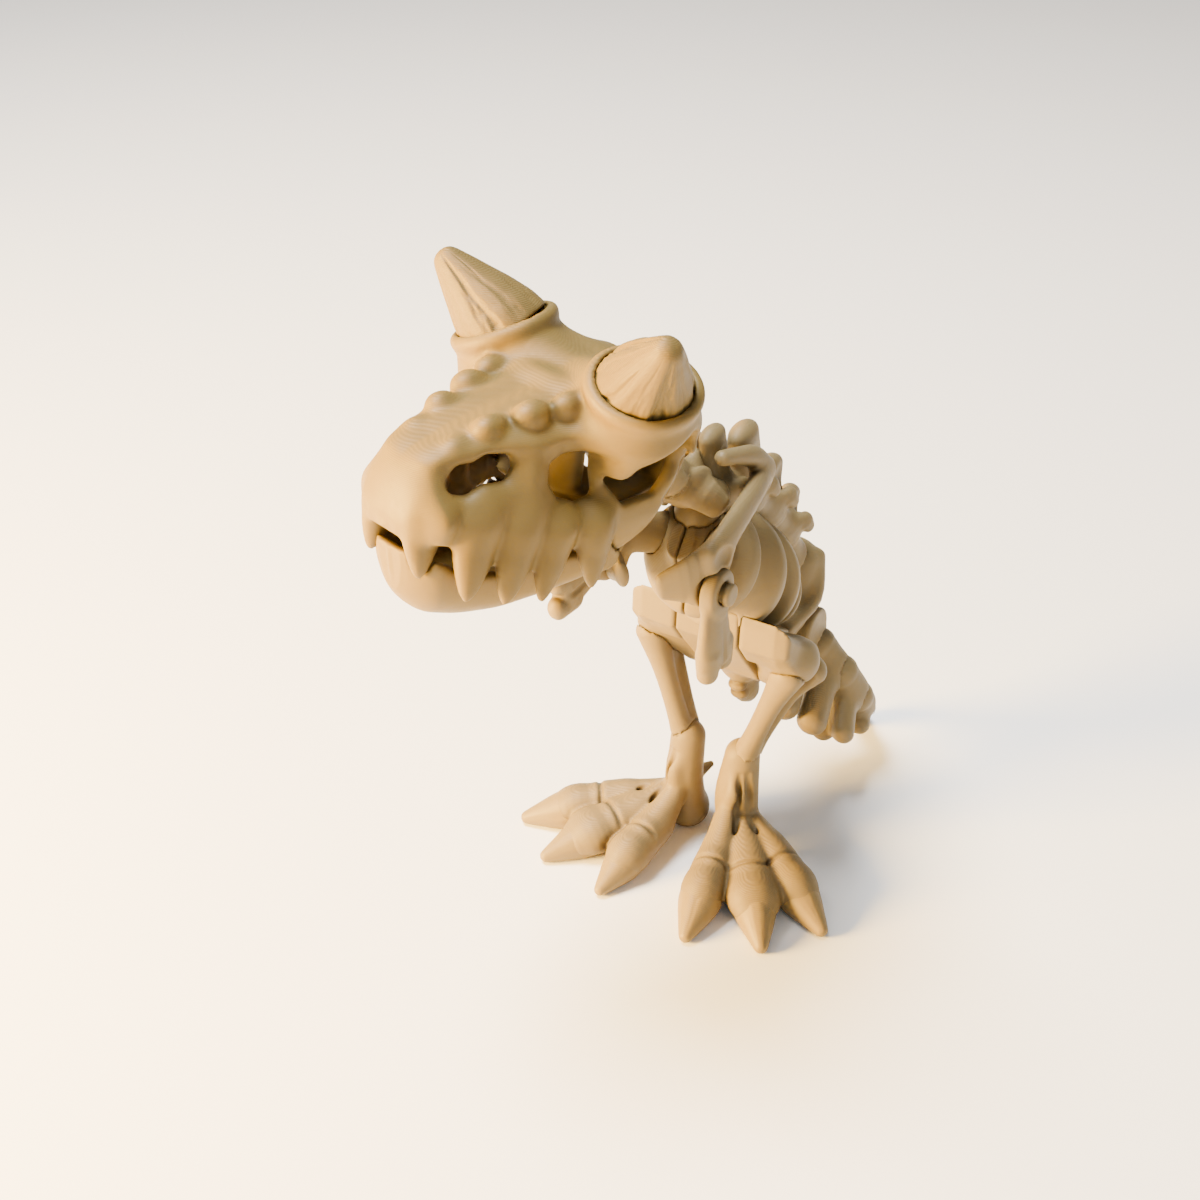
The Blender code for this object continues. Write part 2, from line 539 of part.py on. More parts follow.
# Legs: thigh, shin and foot
legs = {}
for name, s in (("left", 1), ("right", -1)):
    hip = Vector((HIP.x * s, HIP.y, HIP.z))
    knee = Vector((KNEE.x * s, KNEE.y, KNEE.z))
    ankle = ANKLES[name]
    heel = HEELS[name]
    stout = INSTEP[name]
    lo, hi = sorted(((HIP.x + GAP) * s, (HIP.x + 2.6) * s))
    edge = [(PLATE_Y, PLATE_Z), (PLATE_Y + 4.4, PLATE_Z - 4.2), (5.0, 50.0), (1.0, 44.5), (-5.0, 48.5),
            (PLATE_Y - 0.4, 53.0)]
    flare = [(y * 0.9 - 0.2, z - 1.4 if z > 55 else z) for y, z in edge]
    near = (HIP.x + GAP) * s
    small = [(y * 0.76 - 0.6, z - (2.6 if z > 55 else 0.6)) for y, z in edge]
    block = loft([[Vector((near, y, z)) for y, z in edge],
                  [Vector(((PLATE_HALF - 4.0) * s, y, z)) for y, z in edge],
                  [Vector(((PLATE_HALF - 1.2) * s, y, z)) for y, z in flare],
                  [Vector((PLATE_HALF * s, y, z)) for y, z in small]])
    thigh = [disc((HIP.y, HIP.z), HIP_R - 0.3, lo, hi, 14), block,
             limb([hip + Vector((2.4 * s, 0, 0)), hip.lerp(knee, 0.6), knee + Vector((0, 0, 0.6))],
                  [(4.4, 4.6), (4.6, 4.6), (4.6, 5.0)], 8, side=(0, 0, 1))]
    thigh = union(thigh)
    wall = sorted(((HIP.x + GAP) * s, -20 * s))
    thigh = cut(thigh, [prism([(-20, 20), (40, 20), (40, 70), (-20, 70)], wall[0], wall[1])])
    down = ankle - knee
    shin = []
    for off, out, fat in ((-2.3, 0.0, 2.6), (3.4, 1.2, 2.5)):
        track = [knee + Vector((out * s * 1.4, off * 1.3, -2.0 * out - 1.0)),
                 knee + down * 0.35 + Vector((out * s, off, 0)),
                 knee + down * 0.7 + Vector((out * s * 0.3, off * 0.6, 0)),
                 ankle + Vector((0, off * 0.42, 0))]
        shin.append(limb(track, [(fat * 1.35, fat * 1.15), (fat, fat), (fat * 0.9, fat * 0.9), (fat * 1.05, fat)],
                         8, side=(1, 0, 0)))
    shin.append(limb([knee + Vector((0, 0, -1.5)), knee + down * 0.35, knee + down * 0.7, ankle],
                     [(3.6, 3.6), (2.0, 2.4), (2.0, 2.2), (2.9, 2.9)], 8, side=(1, 0, 0)))
    shin = union(shin)
    foot = [limb([ankle + Vector((0, 0, 1.5)), ankle.lerp(heel, 0.5) + Vector((0, -1.4, 0)), heel],
                 [(3.7, 3.6), (stout, 4.0), (4.2, 4.2)], 8, side=(1, 0, 0))]
    for (tx, ty), fat, share, height in zip(TOES[name], TOE_FAT, (0.17, 0.11, 0.06), (11.0, 9.6, 8.4)):
        tip = Vector((tx * s, ty, 0.0))
        reach = Vector((tip.x - heel.x, tip.y - heel.y, 0.0))
        way = reach.normalized()
        # the instep bones come down from the ankle, one to each toe
        start = ankle + way * 1.4 + Vector((-0.5 * s, 0, -2.5))
        arch = heel + reach * share + Vector((-0.4 * s, 0, 0))
        arch.z = height
        bend = heel + reach * 0.38
        bend.z = 5.9
        knuckle = heel + reach * 0.66
        knuckle.z = 4.1
        claw = heel + reach * 0.74
        claw.z = 3.2
        foot.append(limb([start, arch, bend, knuckle],
                         [(2.6, 2.6), (3.0, 3.0), (4.1 * fat, 4.0), (4.8 * fat, 4.4)], 8,
                         side=(way.y, -way.x, 0)))
        foot.append(limb([claw, claw.lerp(tip, 0.45) + Vector((0, 0, 0.9)), tip + Vector((0, 0, 0.9)) - way * 0.4],
                         [(3.6, 3.2), (2.8, 2.4), (0.9, 0.8)], 8, side=(way.y, -way.x, 0)))
    foot.append(blob(heel, (4.3, 4.6, 4.3), IDENT, 6, 10))
    foot.append(spike(heel + Vector((0, 1.5, 7.0)), heel + Vector((-2.4 * s, 5.2, 8.4)), 2.0, 7))
    foot = union(foot)
    floor = prism([(-60, -20), (40, -20), (40, 0), (-60, 0)], -60, 60)
    foot = cut(foot, [floor])
    shin = cut(shin, [swollen(thigh), swollen(foot)])
    legs[name] = (thigh, shin, foot)

# Clearances around the chest and the backbone
spine = cut(spine, [swollen(pelvis)])
for name in ("left", "right"):
    shoulder[name] = cut(shoulder[name], [swollen(neck[2])])
    chest[name] = cut(chest[name], [swollen(shoulder[name]), swollen(pelvis), swollen(legs[name][0])])
    chest[name] = cut(chest[name], [swollen(spine)])
    chest[name] = cut(chest[name], [swollen(neck[2])])
for name in ("left", "right"):
    spine = cut(spine, [swollen(shoulder[name])])

# Tail lengths with side lobes, the last one resting on the floor
tail = []
for i, (start, end, r, lobe) in enumerate(TAIL):
    along = (end - start).normalized()
    mid = start.lerp(end, 0.5)
    side = Vector((1, 0, 0)) - along * along.x
    side.normalize()
    pieces = [limb([start, mid, end], [(r, r), (r * 0.8, r * 0.8), (r * 0.86, r * 0.86)], 8)]
    if i < 4:
        down = TAIL_LOBE - along * TAIL_LOBE.dot(along) * 0.6
        for lean in (down, down - side * 2 * down.dot(side)):
            pieces.append(limb([mid, mid + lean * lobe * 0.6, mid + lean * lobe],
                               [(2.6, 2.2), (2.4, 2.0), (2.2, 1.8)], 7, side=tuple(along)))
    if i == 0:
        pieces.append(disc((TAIL_AXIS.y, TAIL_AXIS.z), TAIL_PIVOT_R, -4.6, 7.8, 16))
    tail.append(union(pieces))
floor = prism([(-60, -20), (90, -20), (90, 0), (-60, 0)], -60, 60)
tail[4] = cut(tail[4], [floor])
for i in range(4):
    tail[i] = cut(tail[i], [swollen(tail[i + 1])])

# The record's pieces: each node keeps its name, its own origin and its own material
BONE = (0.80, 0.66, 0.46, 1.0)


def finish(name, thing, origin, tint=1.0):
    at = (Vector(origin) - CENTRE) * MM
    thing.data.transform(Matrix.Translation(-CENTRE))
    thing.data.transform(Matrix.Scale(MM, 4))
    thing.data.transform(Matrix.Translation(-at))
    thing.location = at
    thing.name = name
    thing.data.name = name
    material = bpy.data.materials.new("printed_bone_" + name)
    material.use_nodes = True
    shader = material.node_tree.nodes["Principled BSDF"]
    shader.inputs["Base Color"].default_value = (BONE[0] * tint, BONE[1] * tint, BONE[2] * tint, 1.0)
    shader.inputs["Roughness"].default_value = 0.55
    shader.inputs["Metallic"].default_value = 0.0
    thing.data.materials.clear()
    thing.data.materials.append(material)
    for poly in thing.data.polygons:
        poly.material_index = 0
        poly.use_smooth = True


finish("skull", skull, socket_at)
finish("jaw", jaw, head(0, 0, -25))
finish("horn_left", horns["left"], head(HORN_AT.x, HORN_AT.y, HORN_AT.z))
finish("horn_right", horns["right"], head(-HORN_AT.x, HORN_AT.y, HORN_AT.z))
for label, bone, row in (("neck_top", neck[0], NECK[0]), ("neck_middle", neck[1], NECK[1]),
                         ("neck_low", neck[2], NECK[2])):
    finish(label, bone, row[1])
finish("backbone", spine, (0, 4, 78))
finish("ribcage_left", chest["left"], (0, 2, 62))
finish("ribcage_right", chest["right"], (0, 2, 62))
finish("pelvis", pelvis, (0, HIP.y, HIP.z))
for label, s in (("left", 1), ("right", -1)):
    finish("shoulder_" + label, shoulder[label], (9.0 * s, SHOULDER_Y, SHOULDER_Z))
    finish("arm_" + label, arms[label], (11.1 * s, SHOULDER_Y, SHOULDER_Z))
    thigh, shin, foot = legs[label]
    finish("thigh_" + label, thigh, (HIP.x * s, HIP.y, HIP.z))
    finish("shin_" + label, shin, (KNEE.x * s, KNEE.y, KNEE.z))
    finish("foot_" + label, foot, ANKLES[label])
for i, bone in enumerate(tail):
    finish("tail_%d" % (i + 1), bone, TAIL[i][0])

total = 0
for thing in sorted(bpy.data.objects, key=lambda o: o.name):
    count = sum(len(p.vertices) - 2 for p in thing.data.polygons)
    total += count
    print(thing.name, count)
print("triangles in all", total)
bpy.context.view_layer.update()
corners = [o.matrix_world @ Vector(c) for o in bpy.data.objects for c in o.bound_box]
print("box", [round(min(c[i] for c in corners) / MM, 2) for i in range(3)],
      [round(max(c[i] for c in corners) / MM, 2) for i in range(3)])
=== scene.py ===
# %% [markdown]
# # A small printed dinosaur skeleton
# The thing is a toy: the skeleton of a two-legged dinosaur with a big horned skull,
# printed layer by layer in matt bone-coloured plastic. Its bones are soft, rounded shapes
# that melt into each other, as if they were modelled in clay. The solids of the packed
# part give every place and size, and this lesson puts a finished bone over each of them.

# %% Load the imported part
import math

import bpy
import numpy as np
from mathutils import Euler, Matrix, Vector


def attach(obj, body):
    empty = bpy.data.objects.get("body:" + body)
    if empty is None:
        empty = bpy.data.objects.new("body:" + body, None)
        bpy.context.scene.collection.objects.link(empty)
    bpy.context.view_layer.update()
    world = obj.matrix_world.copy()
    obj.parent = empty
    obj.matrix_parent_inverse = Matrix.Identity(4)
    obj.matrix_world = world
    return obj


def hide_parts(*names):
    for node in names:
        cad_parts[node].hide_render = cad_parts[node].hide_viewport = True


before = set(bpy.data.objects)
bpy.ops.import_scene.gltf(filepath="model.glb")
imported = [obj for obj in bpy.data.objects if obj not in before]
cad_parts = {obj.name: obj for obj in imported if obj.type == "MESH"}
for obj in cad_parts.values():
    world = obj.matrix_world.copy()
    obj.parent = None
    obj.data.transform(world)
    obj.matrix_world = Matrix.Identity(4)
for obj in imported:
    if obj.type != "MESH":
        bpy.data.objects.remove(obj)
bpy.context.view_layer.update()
MM = 0.001
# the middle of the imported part, in the millimetres that the bones are drawn in
CENTRE = np.array([-1.45, -12.2, 0.0])
# the clearance between pieces that move, and between bones that don't
GAP = 0.35
HAIR = 0.12
HAIR_EDGE = 0.06

# %% [markdown]
# The camera stands above and in front of the left side, at the height that shows the top
# of the skull and both feet.

# %% Camera
VIEW_TURN = math.radians(31.5)
camera = bpy.data.objects.new("camera", bpy.data.cameras.new("camera"))
bpy.context.scene.collection.objects.link(camera)
camera.location = (0.11695, -0.2229, 0.220)
camera.rotation_euler = (math.radians(58.0), 0.0, VIEW_TURN)
camera.data.lens = 48.0
camera.data.sensor_width = 36.0
bpy.context.scene.camera = camera

# %% [markdown]
# A bone could be made from subdivided boxes, but its lobes and hollows run into each
# other without an edge anywhere. So each bone is made as clay: a block of space in which
# every sample holds the distance to the surface, below zero inside. Adding a shape takes
# the smaller distance, rounded over where the two meet, and carving takes the larger one.

# %% Clay: a block of distances that shapes are added to and carved from
FAR = 30.0
# how far round a shape the block is worked over, on top of its size and its rounding
REACH = 1.2


def soft_min(a, b, k):
    if k <= 0:
        return np.minimum(a, b)
    h = np.maximum(k - np.abs(a - b), 0.0) / k
    return np.minimum(a, b) - h * h * k * 0.25


def unit(v):
    return v / np.linalg.norm(v)


def square_to(side, along):
    """The part of a direction that stands square to another, one long."""
    across = np.array(side, float) - along * np.dot(along, side)
    return across / max(np.linalg.norm(across), 1e-6)


def dot(parts, way):
    return parts[0] * np.float32(way[0]) + parts[1] * np.float32(way[1]) + parts[2] * np.float32(way[2])


def egg(parts, radii):
    """About how far a point is from an egg-shaped surface with three radii."""
    near = np.sqrt(sum((c / r) ** 2 for c, r in zip(parts, radii))) + 1e-4
    slope = np.sqrt(sum((c / r ** 2) ** 2 for c, r in zip(parts, radii))) + 1e-5
    return near * (near - 1) / slope


def soft_path(points, sizes, per=4):
    """A smooth line through the points, with the sizes carried along it."""
    rows = np.array([list(p) + list(s) for p, s in zip(points, sizes)], float)
    if len(rows) == 2:
        return rows[:, :3], rows[:, 3:]
    ends = np.vstack([2 * rows[0] - rows[1], rows, 2 * rows[-1] - rows[-2]])
    out = []
    for i in range(1, len(ends) - 2):
        a, b, c, d = ends[i - 1], ends[i], ends[i + 1], ends[i + 2]
        for j in range(per):
            t = j / per
            out.append(0.5 * (2 * b + (c - a) * t + (2 * a - 5 * b + 4 * c - d) * t ** 2
                              + (3 * b - a - 3 * c + d) * t ** 3))
    out.append(rows[-1])
    out = np.array(out)
    out[:, 3:] = np.maximum(out[:, 3:], 0.15)
    return out[:, :3], out[:, 3:]


class Clay:
    def __init__(self, low, high, pitch):
        self.pitch = pitch
        self.low = np.array(low, float) - 4 * pitch
        self.n = np.ceil((np.array(high, float) - self.low) / pitch).astype(int) + 5
        self.d = np.full(self.n, FAR, np.float32)

    def window(self, low, high):
        """The part of the block between two corners, and the coordinates of its samples."""
        a = np.clip(np.floor((np.array(low) - self.low) / self.pitch).astype(int), 0, self.n - 1)
        b = np.clip(np.ceil((np.array(high) - self.low) / self.pitch).astype(int) + 1, a + 1, self.n)
        cut = tuple(slice(i, j) for i, j in zip(a, b))
        x, y, z = (np.float32(self.low[i]) + np.float32(self.pitch) * np.arange(a[i], b[i], dtype=np.float32)
                   for i in range(3))
        return cut, x[:, None, None], y[None, :, None], z[None, None, :]

    def merge(self, cut, shape, k, carve):
        if carve:
            self.d[cut] = -soft_min(-self.d[cut], shape, k)
        else:
            self.d[cut] = soft_min(self.d[cut], shape, k)
        return self

    def axes(self):
        """The coordinates of every sample of the block."""
        return self.window(self.low, self.low + self.pitch * self.n)[1:]

    def field(self, rule, low=None, high=None, k=0.0, carve=False):
        """Any shape that a rule gives as a distance from x, y and z, over the whole block or a part."""
        if low is None:
            low, high = self.low, self.low + self.pitch * self.n
        cut, x, y, z = self.window(low, high)
        return self.merge(cut, np.broadcast_to(rule(x, y, z), self.d[cut].shape), k, carve)

    def cut_off(self, removed, k):
        """Take away whatever lies where the given distances are below zero."""
        self.d = -soft_min(-self.d, removed + np.zeros_like(self.d), k)
        return self

    def limb(self, points, sizes, k=0.8, side=(1, 0, 0), carve=False):
        """A rounded bone along a line. A size is one half width, or one across and one the other way."""
        sizes = [s if isinstance(s, tuple) else (s, s) for s in sizes]
        path, fat = soft_path(points, sizes)
        reach = fat.max() + k + REACH
        low, high = path.min(0) - reach, path.max(0) + reach
        cut, x, y, z = self.window(low, high)
        shape = np.full(self.d[cut].shape, FAR, np.float32)
        start = np.array([c.start for c in cut])
        for p, q, f, g in zip(path[:-1], path[1:], fat[:-1], fat[1:]):
            span = q - p
            length = np.linalg.norm(span)
            along = span / max(length, 1e-6)
            across = square_to(side, along)
            part, *spot = self.window(np.minimum(p, q) - reach, np.maximum(p, q) + reach)
            spot = [c - np.float32(o) for c, o in zip(spot, p)]
            run = dot(spot, along)
            t = np.clip(run / np.float32(length), 0, 1)
            over = run - t * np.float32(length)
            fa, fb = (np.float32(f[i]) + t * np.float32(g[i] - f[i]) for i in (0, 1))
            here = tuple(slice(s.start - o, s.stop - o) for s, o in zip(part, start))
            bead = egg((dot(spot, across), dot(spot, np.cross(along, across)), over), (fa, fb, np.minimum(fa, fb)))
            shape[here] = np.minimum(shape[here], bead)
        return self.merge(cut, shape, k, carve)

    def lump(self, at, radii, k=0.8, along=(0, 0, 1), side=(1, 0, 0), carve=False):
        """An egg-shaped lump. Its third radius lies along the given direction."""
        at = np.array(at, float)
        w = unit(np.array(along, float))
        u = square_to(side, w)
        reach = max(radii) + k + REACH
        cut, *spot = self.window(at - reach, at + reach)
        spot = [c - np.float32(o) for c, o in zip(spot, at)]
        return self.merge(cut, egg([dot(spot, e) for e in (u, np.cross(w, u), w)], radii), k, carve)

    def prism(self, outline, x0, x1, k=0.5, grow=0.0, carve=False):
        """A side-view outline of (y, z) points, carried from x0 to x1."""
        o = np.array(outline, float)
        reach = k + grow + REACH
        cut, x, y, z = self.window([x0 - reach, *(o.min(0) - reach)], [x1 + reach, *(o.max(0) + reach)])
        flat = outline_distance(o, y, z) - grow
        ends = np.maximum(x0 - x, x - x1)
        return self.merge(cut, -soft_min(-flat, -ends - np.zeros_like(flat), 0.6), k, carve)

    def drum(self, at, radius, x0, x1, k=0.3, carve=False, soft=0.5):
        """A round drum about an axis that runs across the body."""
        reach = radius + k + REACH
        cut, x, y, z = self.window([x0 - k - REACH, at[0] - reach, at[1] - reach],
                                   [x1 + k + REACH, at[0] + reach, at[1] + reach])
        flat = np.sqrt((y - at[0]) ** 2 + (z - at[1]) ** 2) - radius
        ends = np.maximum(x0 - x, x - x1)
        return self.merge(cut, -soft_min(-flat - 0 * ends, -ends - 0 * flat, soft), k, carve)

    def clear(self, other, gap=HAIR, k=HAIR_EDGE):
        """Leave a clearance round a neighbour's clay."""
        return self.cut_off(other.spread(self) - np.float32(gap), k)

    def spread(self, onto):
        """This clay's distances at the samples of another block."""
        a = self.d
        inside = []
        for i in range(3):
            c = (onto.low[i] + onto.pitch * np.arange(onto.n[i]) - self.low[i]) / self.pitch
            inside.append((c >= 0) & (c <= self.n[i] - 1.001))
            c = np.clip(c, 0, self.n[i] - 1.001)
            j = c.astype(int)
            f = (c - j).astype(np.float32).reshape([-1 if m == i else 1 for m in range(3)])
            a = np.take(a, j, i) * (1 - f) + np.take(a, j + 1, i) * f
        ok = inside[0][:, None, None] & inside[1][None, :, None] & inside[2][None, None, :]
        return np.where(ok, a, np.float32(FAR))

    def at(self, points):
        """The distances at points, mixed from the eight samples round each."""
        c = np.clip((points - self.low) / self.pitch, 0, self.n - 1.001)
        j = c.astype(int)
        f = c - j
        total = np.zeros(len(points))
        for m in range(8):
            step = np.array([m & 1, m >> 1 & 1, m >> 2 & 1])
            weight = np.prod(np.where(step, f, 1 - f), 1)
            total += weight * self.d[tuple((j + step).T)]
        return total

    def mirror(self):
        """The left half is copied to the right. The block has to be the same on both sides of x = 0."""
        half = self.n[0] // 2
        self.d[:half] = self.d[::-1][:half]
        return self


def outline_distance(o, y, z):
    """The distance from a closed outline in the side view, below zero inside."""
    y, z = np.broadcast_arrays(y, z)
    near = np.full(y.shape, FAR * FAR, np.float32)
    inside = np.zeros(y.shape, bool)
    for (ay, az), (by, bz) in zip(o, np.roll(o, -1, 0)):
        ey, ez = by - ay, bz - az
        t = np.clip(((y - ay) * ey + (z - az) * ez) / max(ey * ey + ez * ez, 1e-9), 0, 1)
        near = np.minimum(near, (y - ay - t * ey) ** 2 + (z - az - t * ez) ** 2)
        if abs(ez) > 1e-9:
            crosses = ((az > z) != (bz > z)) & (y < ey * (z - az) / ez + ay)
            inside ^= crosses
    return np.where(inside, -1, 1).astype(np.float32) * np.sqrt(near)


# %% [markdown]
# The clay becomes a mesh by walking over its cells. Each cell that the surface passes
# through gets one corner, at the middle of its crossings, and every crossed edge between
# samples gives one four-sided face. The mesh is closed, and a little smoothing takes out
# the grid. Two numbers are kept with each corner: how hollow the place is, and how sharp
# a ridge. They are used for painted shade in the hollows and a painted highlight on the ridges.

# %% From clay to a finished mesh
CORNERS = np.array([[i & 1, i >> 1 & 1, i >> 2 & 1] for i in range(8)])
CELL_EDGES = [(a, b) for a in range(8) for b in range(a + 1, 8) if np.abs(CORNERS[a] - CORNERS[b]).sum() == 1]


def skin(clay):
    """The corners and four-sided faces of the surface of a block of clay."""
    d = clay.d
    full = d < 0
    mixed = np.zeros(np.array(d.shape) - 1, np.int8)
    for c in CORNERS:
        mixed += full[tuple(slice(o, n - 1 + o) for o, n in zip(c, d.shape))]
    cells = np.argwhere((mixed > 0) & (mixed < 8))
    number = np.full(mixed.shape, -1, np.int32)
    number[tuple(cells.T)] = np.arange(len(cells))
    value = np.stack([d[tuple((cells + c).T)] for c in CORNERS], 1).astype(float)
    total = np.zeros((len(cells), 3))
    count = np.zeros(len(cells))
    for a, b in CELL_EDGES:
        crossed = (value[:, a] < 0) != (value[:, b] < 0)
        t = value[crossed, a] / (value[crossed, a] - value[crossed, b])
        total[crossed] += CORNERS[a] + (CORNERS[b] - CORNERS[a]) * t[:, None]
        count[crossed] += 1
    corners = clay.low + clay.pitch * (cells + total / count[:, None])
    faces = []
    for axis in range(3):
        step = np.eye(3, dtype=int)[axis]
        lo = full[tuple(slice(0, n - s) for s, n in zip(step, d.shape))]
        hi = full[tuple(slice(s, n) for s, n in zip(step, d.shape))]
        b, c = (axis + 1) % 3, (axis + 2) % 3
        at = np.argwhere(lo != hi)
        at = at[(at[:, b] > 0) & (at[:, c] > 0) & (at[:, b] < d.shape[b] - 1) & (at[:, c] < d.shape[c] - 1)]
        eb, ec = np.eye(3, dtype=int)[b], np.eye(3, dtype=int)[c]
        quad = np.stack([number[tuple((at - eb * i - ec * j).T)] for i, j in ((1, 1), (0, 1), (0, 0), (1, 0))], 1)
        out = lo[tuple(at.T)]
        quad[~out] = quad[~out][:, ::-1]
        faces.append(quad)
    return corners, np.vstack(faces)


def largest_part(corners, faces):
    """Only the largest joined surface is kept."""
    mark = np.arange(len(corners))
    for _ in range(400):
        low = mark[faces].min(1)
        new = mark.copy()
        np.minimum.at(new, faces.ravel(), np.repeat(low, 4))
        new = new[new]
        if (new == mark).all():
            break
        mark = new
    names, counts = np.unique(mark, return_counts=True)
    keep = mark == names[counts.argmax()]
    index = np.cumsum(keep) - 1
    return corners[keep], index[faces[keep[faces[:, 0]]]]


def smoothed(corners, faces, rounds=2):
    """A few rounds of smoothing that don't shrink the shape."""
    a = np.concatenate([faces[:, i] for i in range(4)])
    b = np.concatenate([faces[:, (i + 1) % 4] for i in range(4)])
    degree = np.bincount(a, minlength=len(corners)) + np.bincount(b, minlength=len(corners))
    for step in [0.5, -0.52] * rounds:
        total = np.stack([np.bincount(a, corners[b, i], len(corners)) + np.bincount(b, corners[a, i], len(corners))
                          for i in range(3)], 1)
        corners = corners + step * (total / degree[:, None] - corners)
    return corners


def corner_normals(corners, faces):
    p = corners[faces]
    n = np.cross(p[:, 2] - p[:, 0], p[:, 3] - p[:, 1])
    total = np.stack([np.bincount(faces.ravel(), np.repeat(n[:, i], 4), len(corners)) for i in range(3)], 1)
    return total / np.maximum(np.linalg.norm(total, axis=1), 1e-9)[:, None]


made = {}


def to_world(points, turn=None):
    if turn is not None:
        m = np.array(turn)
        points = points @ m[:3, :3].T + m[:3, 3]
    return (points - CENTRE) * MM


def bone(name, clay, body, turn=None, replaces=None):
    """Turn a block of clay into a piece that rides on a body and stands for CAD nodes."""
    corners, faces = largest_part(*skin(clay))
    corners = smoothed(corners, faces)
    normal = corner_normals(corners, faces)
    # how enclosed each corner is, sampled outwards along its normal; it is used to paint shade into the hollows
    occlusion_shade = sum(w * np.clip((h - clay.at(corners + normal * h)) / h, 0, 1)
                 for h, w in ((0.5, 0.3), (1.3, 0.4), (3.2, 0.4)))
    # how sharp a ridge each corner sits on; it is used to paint a highlight along the ridges
    ridge_highlight = sum(w * np.clip((h + clay.at(corners - normal * h)) / h, 0, 1) for h, w in ((0.4, 0.6), (0.9, 0.5)))
    mesh = bpy.data.meshes.new(name)
    mesh.vertices.add(len(corners))
    mesh.vertices.foreach_set("co", to_world(corners, turn).astype(np.float32).ravel())
    mesh.loops.add(faces.size)
    mesh.loops.foreach_set("vertex_index", faces.ravel().astype(np.int32))
    mesh.polygons.add(len(faces))
    mesh.polygons.foreach_set("loop_start", np.arange(0, faces.size, 4, dtype=np.int32))
    mesh.polygons.foreach_set("use_smooth", np.ones(len(faces), bool))
    mesh.update(calc_edges=True)
    mesh.validate()
    for label, value in (("occlusion_shade", occlusion_shade), ("ridge_highlight", ridge_highlight)):
        mesh.attributes.new(label, "FLOAT", "POINT").data.foreach_set("value", value.astype(np.float32))
    piece = bpy.data.objects.new(name, mesh)
    bpy.context.scene.collection.objects.link(piece)
    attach(piece, body)
    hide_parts(*(replaces or [name.replace("_bone", "")]))
    made[name] = piece
    print(name, len(faces) * 2, "triangles")
    return piece


# %% [markdown]
# ## The head
# The skull is a hollow shell with a blunt snout, so it is made as a round section that
# changes along its length. The same distance, plus the wall's thickness, gives the inside.
# Low swellings over the tooth roots and shallow dishes round the windows are pushed into
# that distance before the wall is made, so the wall keeps its thickness under them.

# %% Sizes of the head, in its own frame: x to its left, y to its back, z up
HEAD_AT = Vector((-9.1, -40.0, 119.5))
HEAD = Matrix.Translation(HEAD_AT) @ Euler((0, 0, math.radians(-16.0))).to_matrix().to_4x4() \
    @ Euler((math.radians(1.0), 0, 0)).to_matrix().to_4x4()
SHELL = 2.4
# along, half width, roof, floor
SKULL = [(-38.4, 8.3, -7.4, -22.4), (-35.0, 8.8, -5.0, -23.4), (-31.5, 9.6, -3.2, -25.0),
         (-26.0, 11.1, -1.7, -27.0), (-19.0, 12.8, -0.8, -29.0), (-12.0, 14.7, -0.4, -31.0),
         (-5.0, 16.8, 0.1, -32.0), (2.0, 18.2, 0.4, -31.0), (8.0, 18.2, 0.2, -29.0), (13.0, 16.2, -2.2, -26.0)]
# the blunt end of the snout, and the length over which it closes
NOSE_END = -38.4
NOSE_LENGTH = 5.6
EDGE = [(-46, -14.6), (-37, -15.0), (-31, -17.2), (-24, -20.2), (-18.5, -22.6), (-13.5, -24.0), (-9.0, -22.6),
        (-6.0, -23.6), (-3.4, -29.4), (1.0, -23.4), (4.6, -17.4), (7.4, -12.6), (9.4, -7.0), (16, -4.0), (16, -50),
        (-46, -50)]
# side-view outlines of the three windows
SNOUT_WINDOW = [(-31.2, -8.4), (-29.6, -6.8), (-26.6, -5.9), (-22.8, -5.6), (-20.2, -6.6), (-21.2, -8.2),
                (-25.0, -9.1), (-29.6, -9.3)]
EYE_WINDOW = [(-15.6, -11.0), (-14.8, -8.8), (-12.4, -7.8), (-7.8, -8.0), (-8.0, -10.8), (-8.6, -15.2),
              (-11.2, -15.8), (-14.4, -14.2)]
CHEEK_WINDOW = [(-6.6, -13.6), (-5.4, -9.8), (-1.0, -7.0), (4.4, -5.6), (6.2, -7.8), (5.0, -13.0), (1.0, -17.6),
                (-4.6, -17.4)]
# brow bumps: place and radius
BUMPS = [(4.8, -27.4, -3.0, 1.5), (5.8, -21.7, -1.5, 2.2), (7.6, -15.0, -1.0, 2.5), (9.4, -9.4, -0.7, 2.2)]
# upper teeth: root, tip, radius
TEETH = [((4.8, -34.0, -13.0), (6.2, -36.7, -21.6), 3.7), ((9.4, -27.6, -15.4), (11.4, -32.2, -25.4), 4.2),
         ((11.6, -21.4, -17.8), (13.5, -26.6, -27.4), 4.0), ((13.2, -15.9, -19.8), (15.1, -20.8, -28.6), 3.5),
         ((15.0, -9.6, -21.2), (16.6, -11.8, -29.2), 3.3)]
HORN_AT = np.array([15.4, 0.2, -0.6])
HORN_TIP = np.array([26.4, -4.7, 12.1])
HORN_R = 7.8
# the raised collar that a horn stands in
COLLAR_AT = np.array([16.5, -0.3, 0.9])
COLLAR_WAY = np.array([0.319, -0.0997, 0.9425])
COLLAR_R = 8.0
RIM = 1.15
# where the neck comes in, and the plane that ends the skull at the back
SOCKET = (2.5, -12.0)
BACK_END = 12.6


def profile(rows, column, soften=1.3):
    """A smooth curve through one column of a table, as a rule of y."""
    y = np.arange(rows[0][0] - 8, rows[-1][0] + 8, 0.2)
    v = np.interp(y, [r[0] for r in rows], [r[column] for r in rows])
    w = np.exp(-0.5 * (np.arange(-20, 21) * 0.2 / soften) ** 2)
    v = np.convolve(np.pad(v, 20, mode="edge"), w / w.sum(), "valid")
    return lambda at: np.interp(at, y, v).astype(np.float32)


